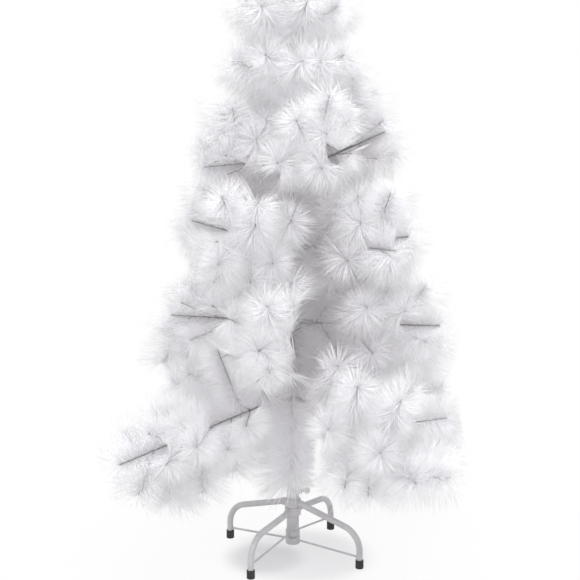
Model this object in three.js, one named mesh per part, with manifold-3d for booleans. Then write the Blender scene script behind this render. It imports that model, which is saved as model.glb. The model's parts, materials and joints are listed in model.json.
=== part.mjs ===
// Artificial Christmas tree, about 1.5 m tall, white needles on hinged branches.
// A folding stand of four bent tube legs holds a two-piece steel pole.
// The lower pole carries hinge collars with branches that fold up for storage.
// The upper pole carries fixed sprays and a straight leader.
// Millimetres, +Z up, the origin on the floor below the pole's axis.
import * as THREE from "three";
import { mergeVertices } from "three/addons/utils/BufferGeometryUtils.js";
import Module from "manifold-3d";

const wasm = await Module();
wasm.setup();

// Fits shared by all pieces
const seatGap = 0.3;
const hingeSideGap = 0.35;
const hingePinGap = 0.4;
const cutOverrun = 6;

// Stand socket, a closed tube that the pole drops into
const socketPoleGap = 1;
const socketWall = 1.5;
const socketFloorThickness = 2;
const socketBottomHeight = 20;
const socketTopMargin = 12;

// Clamp nut and thumb screw
const clampRise = 24;
const clampNutRadius = 6.5;
const clampNutLength = 6;
const clampShankRadius = 2.8;
const clampNeckLength = 4;
const clampHeadRadius = 6.5;
const clampHeadLength = 5;
const clampHeadThickness = 3;
const clampHeadEdge = 0.8;

// Leg collars, the upper one fixed and the lower one free to turn
const legCollarMargin = 1.6;
const legCollarWall = 3.4;
const legStubWall = 1.4;
const legStubLength = 7;

// Bent tube legs and their rubber feet
const footCircleRadius = 150;
const legOuterRadius = 6;
const legWall = 1.2;
const legBendRadius = 45;
const legFootStraight = 15.4;
const upperLegSlope = 15;
const lowerLegSlope = 6;
const footCapWall = 1.5;
const footCapHeight = 17;
const footCapFloor = 3;
const footCapChamfer = 0.8;

// Brace rings and their thin rods
const braceRingWall = 2.4;
const lowerBraceRingHeight = 16;
const upperBraceRingHeight = 12;
const braceRingSpacing = 0.8;
const braceRodRadius = 2;
const lowerBraceAboveCap = 5;
const upperBraceAboveCap = 10;

// Directions of the legs around the pole, counted from +X
const frontRightAzimuth = -31.8;
const quarterTurn = 90;
const fullTurn = 360;

// Pole, a lower tube and an upper tube with a swaged end
const poleOuterRadius = 9.5;
const poleWall = 1;
const lowerPoleEnd = 58;
const swageLength = 50;
const upperPoleEnd = 36;
const upperPoleTipRadius = 5;
const upperPoleTipLength = 24;

// Hinge collars, each with ears for its branches
const collarWall = 2.4;
const collarHeight = 15;
const earThickness = 1.6;
const earHalfHeight = 6.4;
const earReach = 5;
const hingePinCircleRadius = 29;
const hingePinRadius = 2;
const hingePinEnd = 1.2;
const stopThickness = 2.4;
const stopLength = 4;
const branchesPerCollar = 4;

// Branch wires, each a rod with an eye at its hinge
const branchWireRadius = 1.6;
const eyeOuterRadius = 4.6;

// Sprays of needles wound on the branch wires
const sleeveWall = 1.9;
const sleeveStartGap = 2.5;
const brushRadius = 33;
const brushSpikes = 4;
const needleReachPastWire = 34;
const twigEndRadiusShare = 0.94;
const lengthSwayShare = 0.07;
const twigTaperShare = 0.3;
const angleSway = 4;
const swayBranchRate = 2.4;
const swayPlaceRate = 4.1;

// Places along one branch, as shares of its wire
const endBrushStartShare = 0.42;
const twigFirstShare = 0.2;
const twigLastShare = 0.62;

// Outline of one brush, as shares of its length and radius
const brushShares = {
  lowSpikeAlong: 0.4,
  lowSpikeOut: 0.76,
  lowValleyAlong: 0.2,
  lowValleyOut: 0.3,
  highSpikeAlong: 0.92,
  highValleyAlong: 0.66,
  highValleyOut: 0.4,
};

// Tiers of hinged branches, from the lowest to the highest. The rises, wires
// and twigs are shares of the spacing, the longest wire and the longest twig.
// Reach, spread and lift trim the wire, twigs and pitch of each branch in turn.
const tierSpacing = 147;
const longestWire = 350;
const longestTwig = 150;
const tierShares = [
  {
    rise: 0, azimuth: 34, openAngle: -12, wire: 1, twigs: 8,
    twig: 1, rootYaw: 60, endYaw: 32, pitch: 20,
    reach: [1, 1, 1, 1], spread: [1, 1, 1, 1], lift: [1, 1, 0.35, 1],
  },
  {
    rise: 0.986, azimuth: -12, openAngle: 1, wire: 0.72, twigs: 6,
    twig: 0.893, rootYaw: 55, endYaw: 34, pitch: 19,
    reach: [1, 1, 0.85, 1], spread: [1, 1, 0.9, 1], lift: [1, 1, 1, 1],
  },
  {
    rise: 1.986, azimuth: 57, openAngle: 9, wire: 0.623, twigs: 6,
    twig: 0.813, rootYaw: 54, endYaw: 34, pitch: 20,
    reach: [1, 1, 1, 1], spread: [1, 1, 1, 1], lift: [1, 1, 1, 1],
  },
  {
    rise: 3.007, azimuth: 17, openAngle: 22, wire: 0.531, twigs: 5,
    twig: 0.733, rootYaw: 52, endYaw: 34, pitch: 18,
    reach: [0.91, 1, 0.76, 1], spread: [0.95, 1, 0.78, 1], lift: [1, 1, 1, 1],
  },
];

// Fixed sprays of the upper pole
const fixedSleeveWall = 2.6;
const fixedBrushRadius = 28;
const fixedSideTipYaw = 46;
const fixedSideTipStartShare = 0.34;
const fixedSideTipLengthShare = 0.74;
const fixedSleeveMargin = 12;
const fixedBoreOverrun = 60;
const firstWhorlRise = 72;
const whorlSpacing = 88;
const longestFixedTip = 126;
const lowerWhorlShares = [
  { rise: 0, azimuth: 62, count: 4, tilt: 33, length: 1, sideTips: 2 },
  { rise: 1.07, azimuth: 17, count: 4, tilt: 38, length: 0.92, sideTips: 1 },
];
const upperWhorlShares = [
  { rise: 2.07, azimuth: 50, count: 4, tilt: 43, length: 0.85, sideTips: 0 },
  { rise: 2.91, azimuth: 5, count: 4, tilt: 49, length: 0.79, sideTips: 0 },
  { rise: 3.75, azimuth: 50, count: 3, tilt: 57, length: 0.76, sideTips: 0 },
];

// Leader, a bristled wire that stands in the top of the pole
const leaderWireRadius = 2.6;
const leaderPlugLength = 14;
const leaderLength = 196;
const leaderCoreRadius = 4;
const leaderTipRadius = 2.2;
const leaderSides = 8;
const leaderRings = 32;
const leaderNeedleLength = 54;
const leaderNeedleLean = 44;
const leaderPointLength = 22;

// Garland of needles around the pole between the stand and the branches
const garlandSocketGap = 10;
const garlandLength = 138;
const garlandCollarGap = 24.5;
const garlandCoreWall = 2.6;
const garlandSides = 12;
const garlandRings = 30;
const garlandNeedleLength = 36;
const garlandNeedleLean = 12;

// Facets of the round pieces
const roundSides = 16;
const boreSides = 12;
const pinSides = 6;
const eyeSides = 8;
const rodSides = 6;
const legSides = 9;
const arcSteps = 3;
const bendSteps = 4;

const radians = THREE.MathUtils.degToRad;
const alongX = new THREE.Vector3(1, 0, 0);

// Sizes that follow from the piece inside
const socketOuterRadius = poleOuterRadius + socketPoleGap + socketWall;
const footCapOuterRadius = legOuterRadius + seatGap + footCapWall;
const legCollarSpacing = 2 * (legOuterRadius + seatGap + legStubWall) + legCollarMargin;
const earEndCentreRadius = hingePinCircleRadius + earReach;
const eyeThickness = 2 * branchWireRadius;

// Run of a leg from its collar to its bend, and the drop along it
const legStart = socketOuterRadius + seatGap + legCollarWall + seatGap;
const legBendCentre = footCircleRadius - legBendRadius;
function legDrop(slope) {
  const run = legBendCentre + legBendRadius * Math.sin(radians(slope)) - legStart;
  return run * Math.tan(radians(slope)) + legBendRadius * Math.cos(radians(slope));
}

// Heights of the stand, from the feet up to the socket's top
const lowerLegCollarHeight = footCapHeight + legFootStraight + legDrop(lowerLegSlope);
const upperLegCollarHeight = lowerLegCollarHeight + legCollarSpacing;
const clampHeight = upperLegCollarHeight + clampRise;
const socketTopHeight = clampHeight + socketTopMargin;

// Heights of the lower section, from the garland up to the pole's end
const garlandBottomHeight = socketTopHeight + garlandSocketGap;
const garlandTopHeight = garlandBottomHeight + garlandLength;
const firstTierHeight = garlandTopHeight + garlandCollarGap + collarHeight / 2;
const tiers = tierShares.map((shares) => ({
  ...shares,
  height: firstTierHeight + tierSpacing * shares.rise,
  wireLength: longestWire * shares.wire,
  twigLength: longestTwig * shares.twig,
}));
const lowerPoleTopHeight = tiers[tiers.length - 1].height + lowerPoleEnd;

// Heights of the upper section, from its first sprays to the leader's end
const firstWhorlHeight = lowerPoleTopHeight + firstWhorlRise;
const whorlsOf = (table) => table.map((shares) => ({
  ...shares,
  height: firstWhorlHeight + whorlSpacing * shares.rise,
  length: longestFixedTip * shares.length,
}));
const lowerWhorls = whorlsOf(lowerWhorlShares);
const upperWhorls = whorlsOf(upperWhorlShares);
const upperPoleShoulderHeight = upperWhorls[upperWhorls.length - 1].height + upperPoleEnd;
const upperPoleTopHeight = upperPoleShoulderHeight + upperPoleTipLength;
const leaderTopHeight = upperPoleTopHeight + leaderLength;

// Colours of the finishes
const finishes = {
  whitePaint: { color: 0xe4e2e2, roughness: 0.42, metalness: 0.1 },
  blackRubber: { color: 0x3f3c3e, roughness: 0.85, metalness: 0 },
  zinc: { color: 0xb9bcc0, roughness: 0.35, metalness: 0.9 },
  greyWire: { color: 0x7e7d83, roughness: 0.5, metalness: 0.6 },
  whiteNeedles: { color: 0xf1f0f4, roughness: 0.6, metalness: 0 },
};

// A bore is drawn around its circle, so that its flats keep the clearance
function boreRadius(radius, sides) {
  return radius / Math.cos(Math.PI / sides);
}

// Turns a closed geometry into a solid, with doubled points merged
function toSolid(geometry) {
  const bare = geometry.clone();
  bare.deleteAttribute("normal");
  bare.deleteAttribute("uv");
  const merged = mergeVertices(bare);
  const corners = merged.index.array;
  const faces = [];
  for (let i = 0; i < corners.length; i += 3) {
    const [a, b, c] = [corners[i], corners[i + 1], corners[i + 2]];
    if (a !== b && b !== c && c !== a) {
      faces.push(a, b, c);
    }
  }
  return new wasm.Manifold(new wasm.Mesh({
    numProp: 3,
    vertProperties: new Float32Array(merged.attributes.position.array),
    triVerts: new Uint32Array(faces),
  }));
}

// Turns a solid back into a geometry
function toGeometry(solid) {
  const mesh = solid.getMesh();
  const points = new Float32Array(mesh.numVert * 3);
  for (let i = 0; i < mesh.numVert; i += 1) {
    for (let k = 0; k < 3; k += 1) {
      points[i * 3 + k] = mesh.vertProperties[i * mesh.numProp + k];
    }
  }
  const geometry = new THREE.BufferGeometry();
  geometry.setAttribute("position", new THREE.BufferAttribute(points, 3));
  geometry.setIndex(new THREE.BufferAttribute(new Uint32Array(mesh.triVerts), 1));
  geometry.computeVertexNormals();
  return geometry;
}

function joined(solids) {
  return solids.reduce((whole, piece) => whole.add(piece));
}

function makeMesh(name, geometry, finish) {
  const mesh = new THREE.Mesh(geometry, new THREE.MeshStandardMaterial(finish));
  mesh.name = name;
  return mesh;
}

// Revolves a list of [radius, height] about the pole's axis
function revolved(profile, sides) {
  const points = profile.map(([radius, height]) => new THREE.Vector2(radius, height));
  return new THREE.LatheGeometry(points, sides).rotateX(Math.PI / 2);
}

function ringSolid(innerRadius, outerRadius, bottom, top, sides) {
  const bore = boreRadius(innerRadius, sides);
  return toSolid(revolved([
    [bore, bottom],
    [outerRadius, bottom],
    [outerRadius, top],
    [bore, top],
    [bore, bottom],
  ], sides));
}

// A round rod along X, from one place to another
function rodAlongX(from, to, radius, sides) {
  const length = to - from;
  const rod = new THREE.CylinderGeometry(radius, radius, length, sides);
  return rod.rotateZ(-Math.PI / 2).translate(from + length / 2, 0, 0);
}

// A round rod along Y, centred on the XZ plane
function rodAlongY(halfLength, radius, sides) {
  return new THREE.CylinderGeometry(radius, radius, halfLength * 2, sides);
}

// Turn and shift of a piece that is drawn along X
function placement(origin, yaw, pitch) {
  const turn = new THREE.Matrix4().makeRotationZ(radians(yaw));
  const tilt = new THREE.Matrix4().makeRotationY(-radians(pitch));
  const shift = new THREE.Matrix4().makeTranslation(origin.x, origin.y, origin.z);
  return shift.multiply(turn).multiply(tilt);
}

// Socket tube with its closed floor and the welded clamp nut
function socketTube() {
  const innerRadius = socketOuterRadius - socketWall;
  const bore = boreRadius(innerRadius, roundSides);
  const tube = toSolid(revolved([
    [0, socketBottomHeight],
    [socketOuterRadius, socketBottomHeight],
    [socketOuterRadius, socketTopHeight],
    [bore, socketTopHeight],
    [bore, socketBottomHeight + socketFloorThickness],
    [0, socketBottomHeight + socketFloorThickness],
  ], roundSides));
  const nut = toSolid(rodAlongX(innerRadius + socketWall / 2,
    socketOuterRadius + clampNutLength, clampNutRadius, rodSides)
    .translate(0, 0, clampHeight));
  const hole = toSolid(rodAlongX(innerRadius - cutOverrun,
    socketOuterRadius + clampNutLength + cutOverrun,
    boreRadius(clampShankRadius + seatGap, boreSides), boreSides)
    .translate(0, 0, clampHeight));
  return toGeometry(tube.add(nut).subtract(hole));
}

// Thumb screw that presses on the pole, its head a flattened paddle
function clampScrew() {
  const tip = poleOuterRadius + seatGap;
  const headStart = socketOuterRadius + clampNutLength + clampNeckLength;
  const headEnd = headStart + clampHeadLength;
  const shank = toSolid(rodAlongX(tip, headStart + clampHeadLength / 2,
    clampShankRadius, pinSides));
  const outline = new THREE.Shape();
  outline.moveTo(headStart, -clampShankRadius);
  outline.lineTo(headEnd, -clampHeadRadius);
  outline.absarc(headEnd, 0, clampHeadRadius, -Math.PI / 2, Math.PI / 2, false);
  outline.lineTo(headStart, clampShankRadius);
  outline.closePath();
  const paddle = new THREE.ExtrudeGeometry(outline, {
    depth: clampHeadThickness - 2 * clampHeadEdge,
    bevelThickness: clampHeadEdge,
    bevelSize: clampHeadEdge,
    bevelOffset: -clampHeadEdge,
    bevelSegments: 1,
    curveSegments: pinSides,
  });
  paddle.translate(0, 0, clampHeadEdge - clampHeadThickness / 2).rotateX(Math.PI / 2);
  return toGeometry(shank.add(toSolid(paddle)).translate([0, 0, clampHeight]));
}

// Leg collar with a stub socket for each of its two opposite legs
function legCollar(height, slope, azimuth) {
  const innerRadius = socketOuterRadius + seatGap;
  const outerRadius = innerRadius + legCollarWall;
  const half = (legCollarSpacing - seatGap) / 2;
  const ring = ringSolid(innerRadius, outerRadius, height - half, height + half, roundSides);
  const bore = toSolid(rodAlongX(outerRadius, outerRadius + legStubLength + cutOverrun,
    boreRadius(legOuterRadius + seatGap, boreSides), boreSides));
  const stub = toSolid(rodAlongX(outerRadius - legCollarWall / 2,
    outerRadius + legStubLength, legOuterRadius + seatGap + legStubWall, boreSides));
  const stubs = [azimuth, azimuth + 2 * quarterTurn].map((turn) => {
    const place = placement(new THREE.Vector3(0, 0, height), turn, 0);
    const droop = placement(new THREE.Vector3(outerRadius, 0, 0), 0, -slope)
      .multiply(new THREE.Matrix4().makeTranslation(-outerRadius, 0, 0));
    const pose = place.multiply(droop).toArray();
    return [stub.transform(pose), bore.transform(pose)];
  });
  return toGeometry(joined([ring, ...stubs.map(([boss]) => boss)])
    .subtract(joined(stubs.map(([, hollow]) => hollow))));
}

// Stations of a leg's centreline, as points and directions in the XZ plane
function legStations(height, slope) {
  const bendHeight = height - legDrop(slope);
  const sweep = Math.PI / 2 - radians(slope);
  const stations = [{ x: legStart, z: height, angle: sweep }];
  for (let step = 0; step <= bendSteps; step += 1) {
    const angle = sweep * (1 - step / bendSteps);
    stations.push({
      x: legBendCentre + legBendRadius * Math.cos(angle),
      z: bendHeight + legBendRadius * Math.sin(angle),
      angle,
    });
  }
  stations.push({ x: footCircleRadius, z: footCapFloor + seatGap, angle: 0 });
  return stations;
}

// A bent tube through stations, open at both ends
function bentTube(stations, outerRadius, innerRadius, sides) {
  const points = [];
  const faces = [];
  const place = (station, radius, side) => {
    const turn = (side / sides) * Math.PI * 2;
    const outward = radius * Math.cos(turn);
    return [
      station.x + outward * Math.cos(station.angle),
      radius * Math.sin(turn),
      station.z + outward * Math.sin(station.angle),
    ];
  };
  stations.forEach((station) => {
    [outerRadius, innerRadius].forEach((radius) => {
      for (let side = 0; side < sides; side += 1) {
        points.push(...place(station, radius, side));
      }
    });
  });
  const at = (ring, skin, side) => (ring * 2 + skin) * sides + (side % sides);
  const quad = (a, b, c, d) => faces.push(a, b, c, a, c, d);
  for (let side = 0; side < sides; side += 1) {
    for (let ring = 0; ring + 1 < stations.length; ring += 1) {
      quad(at(ring, 0, side), at(ring + 1, 0, side),
        at(ring + 1, 0, side + 1), at(ring, 0, side + 1));
      quad(at(ring, 1, side), at(ring, 1, side + 1),
        at(ring + 1, 1, side + 1), at(ring + 1, 1, side));
    }
    const last = stations.length - 1;
    quad(at(0, 0, side), at(0, 0, side + 1), at(0, 1, side + 1), at(0, 1, side));
    quad(at(last, 0, side), at(last, 1, side), at(last, 1, side + 1), at(last, 0, side + 1));
  }
  const geometry = new THREE.BufferGeometry();
  geometry.setAttribute("position", new THREE.Float32BufferAttribute(points, 3));
  geometry.setIndex(faces);
  geometry.computeVertexNormals();
  return geometry;
}

// Rubber foot, a cup over the end of a leg
function footCap() {
  const bore = boreRadius(legOuterRadius + seatGap, boreSides);
  return revolved([
    [0, 0],
    [footCapOuterRadius - footCapChamfer, 0],
    [footCapOuterRadius, footCapChamfer],
    [footCapOuterRadius, footCapHeight],
    [bore, footCapHeight],
    [bore, footCapFloor],
    [0, footCapFloor],
  ], boreSides).translate(footCircleRadius, 0, 0);
}

// Ring on the socket that a pair of brace rods is welded to
function braceRing(bottom, ringHeight) {
  const innerRadius = socketOuterRadius + seatGap;
  return toGeometry(ringSolid(innerRadius, innerRadius + braceRingWall,
    bottom, bottom + ringHeight, roundSides));
}

// Brace rod from a brace ring to the inside of a leg, its ends cut to both
function braceRod(ringCentreHeight, legHeight) {
  const ringFace = socketOuterRadius + seatGap + braceRingWall;
  const from = new THREE.Vector3(ringFace - cutOverrun / 2, 0, ringCentreHeight);
  const to = new THREE.Vector3(footCircleRadius - legOuterRadius / 2, 0, legHeight);
  const run = to.clone().sub(from);
  const pitch = THREE.MathUtils.radToDeg(Math.atan2(run.z, run.x));
  const rod = toSolid(rodAlongX(0, run.length(), braceRodRadius, pinSides)
    .applyMatrix4(placement(from, 0, pitch)));
  const tall = socketTopHeight;
  const ringCut = toSolid(revolved([
    [0, 0], [ringFace + seatGap, 0], [ringFace + seatGap, tall], [0, tall],
  ], roundSides));
  const legCut = toSolid(revolved([
    [0, 0], [legOuterRadius + seatGap, 0], [legOuterRadius + seatGap, tall], [0, tall],
  ], roundSides).translate(footCircleRadius, 0, 0));
  return toGeometry(rod.subtract(ringCut).subtract(legCut));
}

// Lower pole, an open tube that stands on the socket's floor
function lowerPole() {
  const bottom = socketBottomHeight + socketFloorThickness + seatGap;
  return toGeometry(ringSolid(poleOuterRadius - poleWall, poleOuterRadius,
    bottom, lowerPoleTopHeight, roundSides));
}

// Upper pole, with a swaged lower end and a crimped top that holds the leader
function upperPole() {
  const swageRadius = (poleOuterRadius - poleWall - seatGap) * Math.cos(Math.PI / roundSides);
  const shoulder = lowerPoleTopHeight + seatGap;
  const bottom = shoulder - swageLength;
  const top = upperPoleTopHeight;
  const plugRadius = boreRadius(leaderWireRadius + seatGap, roundSides);
  const innerRadius = swageRadius - poleWall;
  const profile = [
    [innerRadius, bottom],
    [swageRadius, bottom],
    [swageRadius, shoulder],
    [poleOuterRadius, shoulder],
    [poleOuterRadius, upperPoleShoulderHeight],
    [upperPoleTipRadius, upperPoleShoulderHeight + upperPoleTipLength / 2],
    [upperPoleTipRadius, top],
    [plugRadius, top],
    [plugRadius, upperPoleShoulderHeight + upperPoleTipLength / 2],
    [innerRadius, upperPoleShoulderHeight],
    [innerRadius, bottom],
  ];
  return revolved(profile, roundSides);
}

// Ear plate of a hinge, a flat bar with a round outer end
function earOutline() {
  const outline = new THREE.Shape();
  outline.moveTo(poleOuterRadius + seatGap + collarWall / 2, -earHalfHeight);
  outline.lineTo(earEndCentreRadius, -earHalfHeight);
  outline.absarc(earEndCentreRadius, 0, earHalfHeight, -Math.PI / 2, Math.PI / 2, false);
  outline.lineTo(poleOuterRadius + seatGap + collarWall / 2, earHalfHeight);
  outline.closePath();
  return outline;
}

// Hinge collar with its ears, riveted pins and the stops under the branches
function hingeCollar(tier) {
  const innerRadius = poleOuterRadius + seatGap;
  const band = ringSolid(innerRadius, innerRadius + collarWall,
    -collarHeight / 2, collarHeight / 2, boreSides);
  const innerFace = eyeThickness / 2 + hingeSideGap;
  const outerFace = innerFace + earThickness;
  const plate = new THREE.ExtrudeGeometry(earOutline(),
    { depth: earThickness, bevelEnabled: false, curveSegments: arcSteps });
  plate.rotateX(Math.PI / 2);
  const leftEar = toSolid(plate.clone().translate(0, outerFace, 0));
  const rightEar = toSolid(plate.clone().translate(0, -innerFace, 0));
  const pin = toSolid(rodAlongY(outerFace + hingePinEnd, hingePinRadius, pinSides));
  const stopTop = branchWireRadius + seatGap;
  const stopStart = Math.sqrt(eyeOuterRadius ** 2 - stopTop ** 2) + seatGap;
  const stopWidth = innerFace + outerFace;
  const stop = toSolid(new THREE.BoxGeometry(stopLength, stopWidth, stopThickness)
    .translate(stopStart + stopLength / 2, 0, -stopTop - stopThickness / 2)
    .rotateY(-radians(tier.openAngle)));
  const pinWork = pin.add(stop).translate([hingePinCircleRadius, 0, 0]);
  const hinge = joined([leftEar, rightEar, pinWork]);
  const hinges = [];
  for (let i = 0; i < branchesPerCollar; i += 1) {
    hinges.push(hinge.rotate([0, 0, tier.azimuth + (i * fullTurn) / branchesPerCollar]));
  }
  return toGeometry(joined([band, ...hinges]));
}

// Main wire of a branch, drawn along X from the hinge pin
function branchWire(tier) {
  const rod = toSolid(rodAlongX(eyeOuterRadius / 2, tier.wireLength, branchWireRadius, rodSides));
  const eye = toSolid(rodAlongY(eyeThickness / 2, eyeOuterRadius, eyeSides));
  const bore = toSolid(rodAlongY(eyeThickness / 2 + cutOverrun,
    boreRadius(hingePinRadius + hingePinGap, eyeSides), eyeSides));
  return toGeometry(rod.add(eye).subtract(bore));
}

// One brush of needles along X, a spindle whose spikes lean forward
function brushGeometry(length, radius) {
  const points = [0, 0, 0];
  const faces = [];
  const count = brushSpikes * 2;
  const ring = (spikeAlong, spikeOut, valleyAlong, valleyOut, shift) => {
    for (let i = 0; i < count; i += 1) {
      const spike = (i + shift) % 2 === 0;
      const turn = (i / count) * Math.PI * 2;
      const out = radius * (spike ? spikeOut : valleyOut);
      points.push(length * (spike ? spikeAlong : valleyAlong),
        out * Math.cos(turn), out * Math.sin(turn));
    }
  };
  const shape = brushShares;
  ring(shape.lowSpikeAlong, shape.lowSpikeOut, shape.lowValleyAlong, shape.lowValleyOut, 0);
  ring(shape.highSpikeAlong, 1, shape.highValleyAlong, shape.highValleyOut, 1);
  points.push(length, 0, 0);
  const low = (i) => 1 + (i % count);
  const high = (i) => 1 + count + (i % count);
  const end = 1 + 2 * count;
  for (let i = 0; i < count; i += 1) {
    faces.push(0, low(i + 1), low(i));
    faces.push(low(i), low(i + 1), high(i + 1), low(i), high(i + 1), high(i));
    faces.push(high(i), high(i + 1), end);
  }
  const geometry = new THREE.BufferGeometry();
  geometry.setAttribute("position", new THREE.Float32BufferAttribute(points, 3));
  geometry.setIndex(faces);
  return geometry;
}

// A twig along X, slender at its root, with needles that reach past its wire
function twig(length, radius) {
  return toSolid(brushGeometry(length + needleReachPastWire, radius));
}

// A steady sway between -1 and 1 that sets like pieces a little apart
function sway(index, place) {
  return Math.sin(index * swayBranchRate + place * swayPlaceRate);
}

// Places of the side twigs on one branch, with their turns and lengths
function twigPlaces(tier, branch) {
  const places = [];
  for (let i = 0; i < tier.twigs; i += 1) {
    const share = i / (tier.twigs - 1);
    const side = i % 2 === 0 ? 1 : -1;
    const rising = Math.floor((i + 1) / 2) % 2 === 0 ? 1 : -1;
    const yaw = THREE.MathUtils.lerp(tier.rootYaw, tier.endYaw, share);
    const fullLength = tier.twigLength * (1 - twigTaperShare * share);
    places.push({
      along: tier.wireLength * THREE.MathUtils.lerp(twigFirstShare, twigLastShare, share),
      yaw: side * (yaw + angleSway * sway(branch, i)),
      pitch: rising * tier.pitch + angleSway * sway(branch + 1, i) / 2,
      length: fullLength * (1 + lengthSwayShare * sway(branch + 2, i)),
    });
  }
  return places;
}

// A tier's values as one of its branches has them, with its own trim
function trimmedTier(tier, i) {
  return {
    ...tier,
    wireLength: tier.wireLength * tier.reach[i],
    twigLength: tier.twigLength * tier.spread[i],
    pitch: tier.pitch * tier.lift[i],
  };
}

// Spray of one branch: sleeve, side twigs and brushes around the wire's bore
function branchSpray(tier, branch) {
  const sleeveStart = earEndCentreRadius + earHalfHeight - hingePinCircleRadius
    + sleeveStartGap;
  const boreSize = boreRadius(branchWireRadius + seatGap, rodSides);
  const endStart = tier.wireLength * endBrushStartShare;
  const endLength = tier.wireLength - endStart + needleReachPastWire;
  const sleeve = toSolid(rodAlongX(sleeveStart, endStart + endLength / 2,
    branchWireRadius + seatGap + sleeveWall, rodSides));
  const end = toSolid(brushGeometry(endLength, brushRadius).translate(endStart, 0, 0));
  const twigs = twigPlaces(tier, branch).map((place) => {
    const origin = alongX.clone().multiplyScalar(place.along);
    const pose = placement(origin, place.yaw, place.pitch).toArray();
    return twig(place.length, brushRadius * twigEndRadiusShare).transform(pose);
  });
  const bore = toSolid(rodAlongX(sleeveStart - cutOverrun,
    tier.wireLength + seatGap, boreSize, rodSides));
  return toGeometry(joined([sleeve, end, ...twigs]).subtract(bore));
}

// Fixed sprays of the upper pole, bound on by one sleeve
function fixedSprays(whorls) {
  const innerRadius = poleOuterRadius + seatGap;
  const bottom = whorls[0].height - fixedSleeveMargin;
  const top = whorls[whorls.length - 1].height + fixedSleeveMargin;
  const sleeve = ringSolid(innerRadius, innerRadius + fixedSleeveWall, bottom, top, boreSides);
  const bore = toSolid(revolved([
    [0, bottom - cutOverrun],
    [boreRadius(innerRadius, boreSides), bottom - cutOverrun],
    [boreRadius(innerRadius, boreSides), top + fixedBoreOverrun],
    [0, top + fixedBoreOverrun],
  ], boreSides));
  const tips = [];
  whorls.forEach((whorl) => {
    for (let i = 0; i < whorl.count; i += 1) {
      const fan = [twig(whorl.length, fixedBrushRadius)];
      for (let k = 0; k < whorl.sideTips; k += 1) {
        const origin = alongX.clone().multiplyScalar(whorl.length * fixedSideTipStartShare);
        const yaw = fixedSideTipYaw * (k % 2 === 0 ? 1 : -1);
        fan.push(twig(whorl.length * fixedSideTipLengthShare, fixedBrushRadius)
          .transform(placement(origin, yaw, 0).toArray()));
      }
      const root = new THREE.Vector3();
      const turn = whorl.azimuth + (i * fullTurn) / whorl.count;
      tips.push(joined(fan)
        .transform(placement(root, 0, whorl.tilt).toArray())
        .rotate([0, 0, turn])
        .translate([0, 0, whorl.height]));
    }
  });
  return toGeometry(joined([sleeve, ...tips]).subtract(bore));
}

// A core with a needle on every other facet pair, each three-sided and fused
// to the core along its own facet, so that none crosses another
function bristledCore(profile, sides, needleLength, lean) {
  const points = [];
  const faces = [];
  const up = needleLength * Math.sin(radians(lean));
  const out = needleLength * Math.cos(radians(lean));
  profile.forEach(({ radius, height }) => {
    for (let side = 0; side < sides; side += 1) {
      const turn = (side / sides) * Math.PI * 2;
      points.push(radius * Math.cos(turn), radius * Math.sin(turn), height);
    }
  });
  const at = (ring, side) => ring * sides + (side % sides);
  for (let ring = 0; ring + 1 < profile.length; ring += 1) {
    for (let side = 0; side < sides; side += 1) {
      const [a, b] = [at(ring, side), at(ring, side + 1)];
      const [c, d] = [at(ring + 1, side + 1), at(ring + 1, side)];
      const needled = profile[ring].needled && (ring + side) % 2 === 0;
      if (needled) {
        const turn = ((side + 0.5) / sides) * Math.PI * 2;
        const reach = profile[ring].radius + out;
        points.push(reach * Math.cos(turn), reach * Math.sin(turn),
          profile[ring].height + up);
        const apex = points.length / 3 - 1;
        faces.push(a, b, apex, b, c, apex, c, a, apex);
      } else {
        faces.push(a, b, c);
      }
      faces.push(a, c, d);
    }
  }
  return { points, faces, at };
}

function strandsIn(profile, sides) {
  return profile.slice(0, -1).filter((station) => station.needled).length * sides / 2;
}

// Leader, a plain plug below and a tapering bristled core above
function topLeader() {
  const coreBottom = upperPoleTopHeight + seatGap;
  const profile = [{ radius: leaderWireRadius, height: upperPoleTopHeight - leaderPlugLength },
    { radius: leaderWireRadius, height: coreBottom }];
  for (let i = 0; i <= leaderRings; i += 1) {
    const share = i / leaderRings;
    profile.push({
      radius: THREE.MathUtils.lerp(leaderCoreRadius, leaderTipRadius, share),
      height: THREE.MathUtils.lerp(coreBottom, leaderTopHeight, share),
      needled: true,
    });
  }
  profile[2].height = coreBottom + seatGap;
  const core = bristledCore(profile, leaderSides, leaderNeedleLength, leaderNeedleLean);
  core.points.push(0, 0, profile[0].height);
  core.points.push(0, 0, leaderTopHeight + leaderPointLength);
  const bottom = core.points.length / 3 - 2;
  const last = profile.length - 1;
  for (let side = 0; side < leaderSides; side += 1) {
    core.faces.push(bottom, core.at(0, side + 1), core.at(0, side));
    core.faces.push(core.at(last, side), core.at(last, side + 1), bottom + 1);
  }
  console.log("leader strands:", strandsIn(profile, leaderSides));
  return closedGeometry(core);
}

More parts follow.
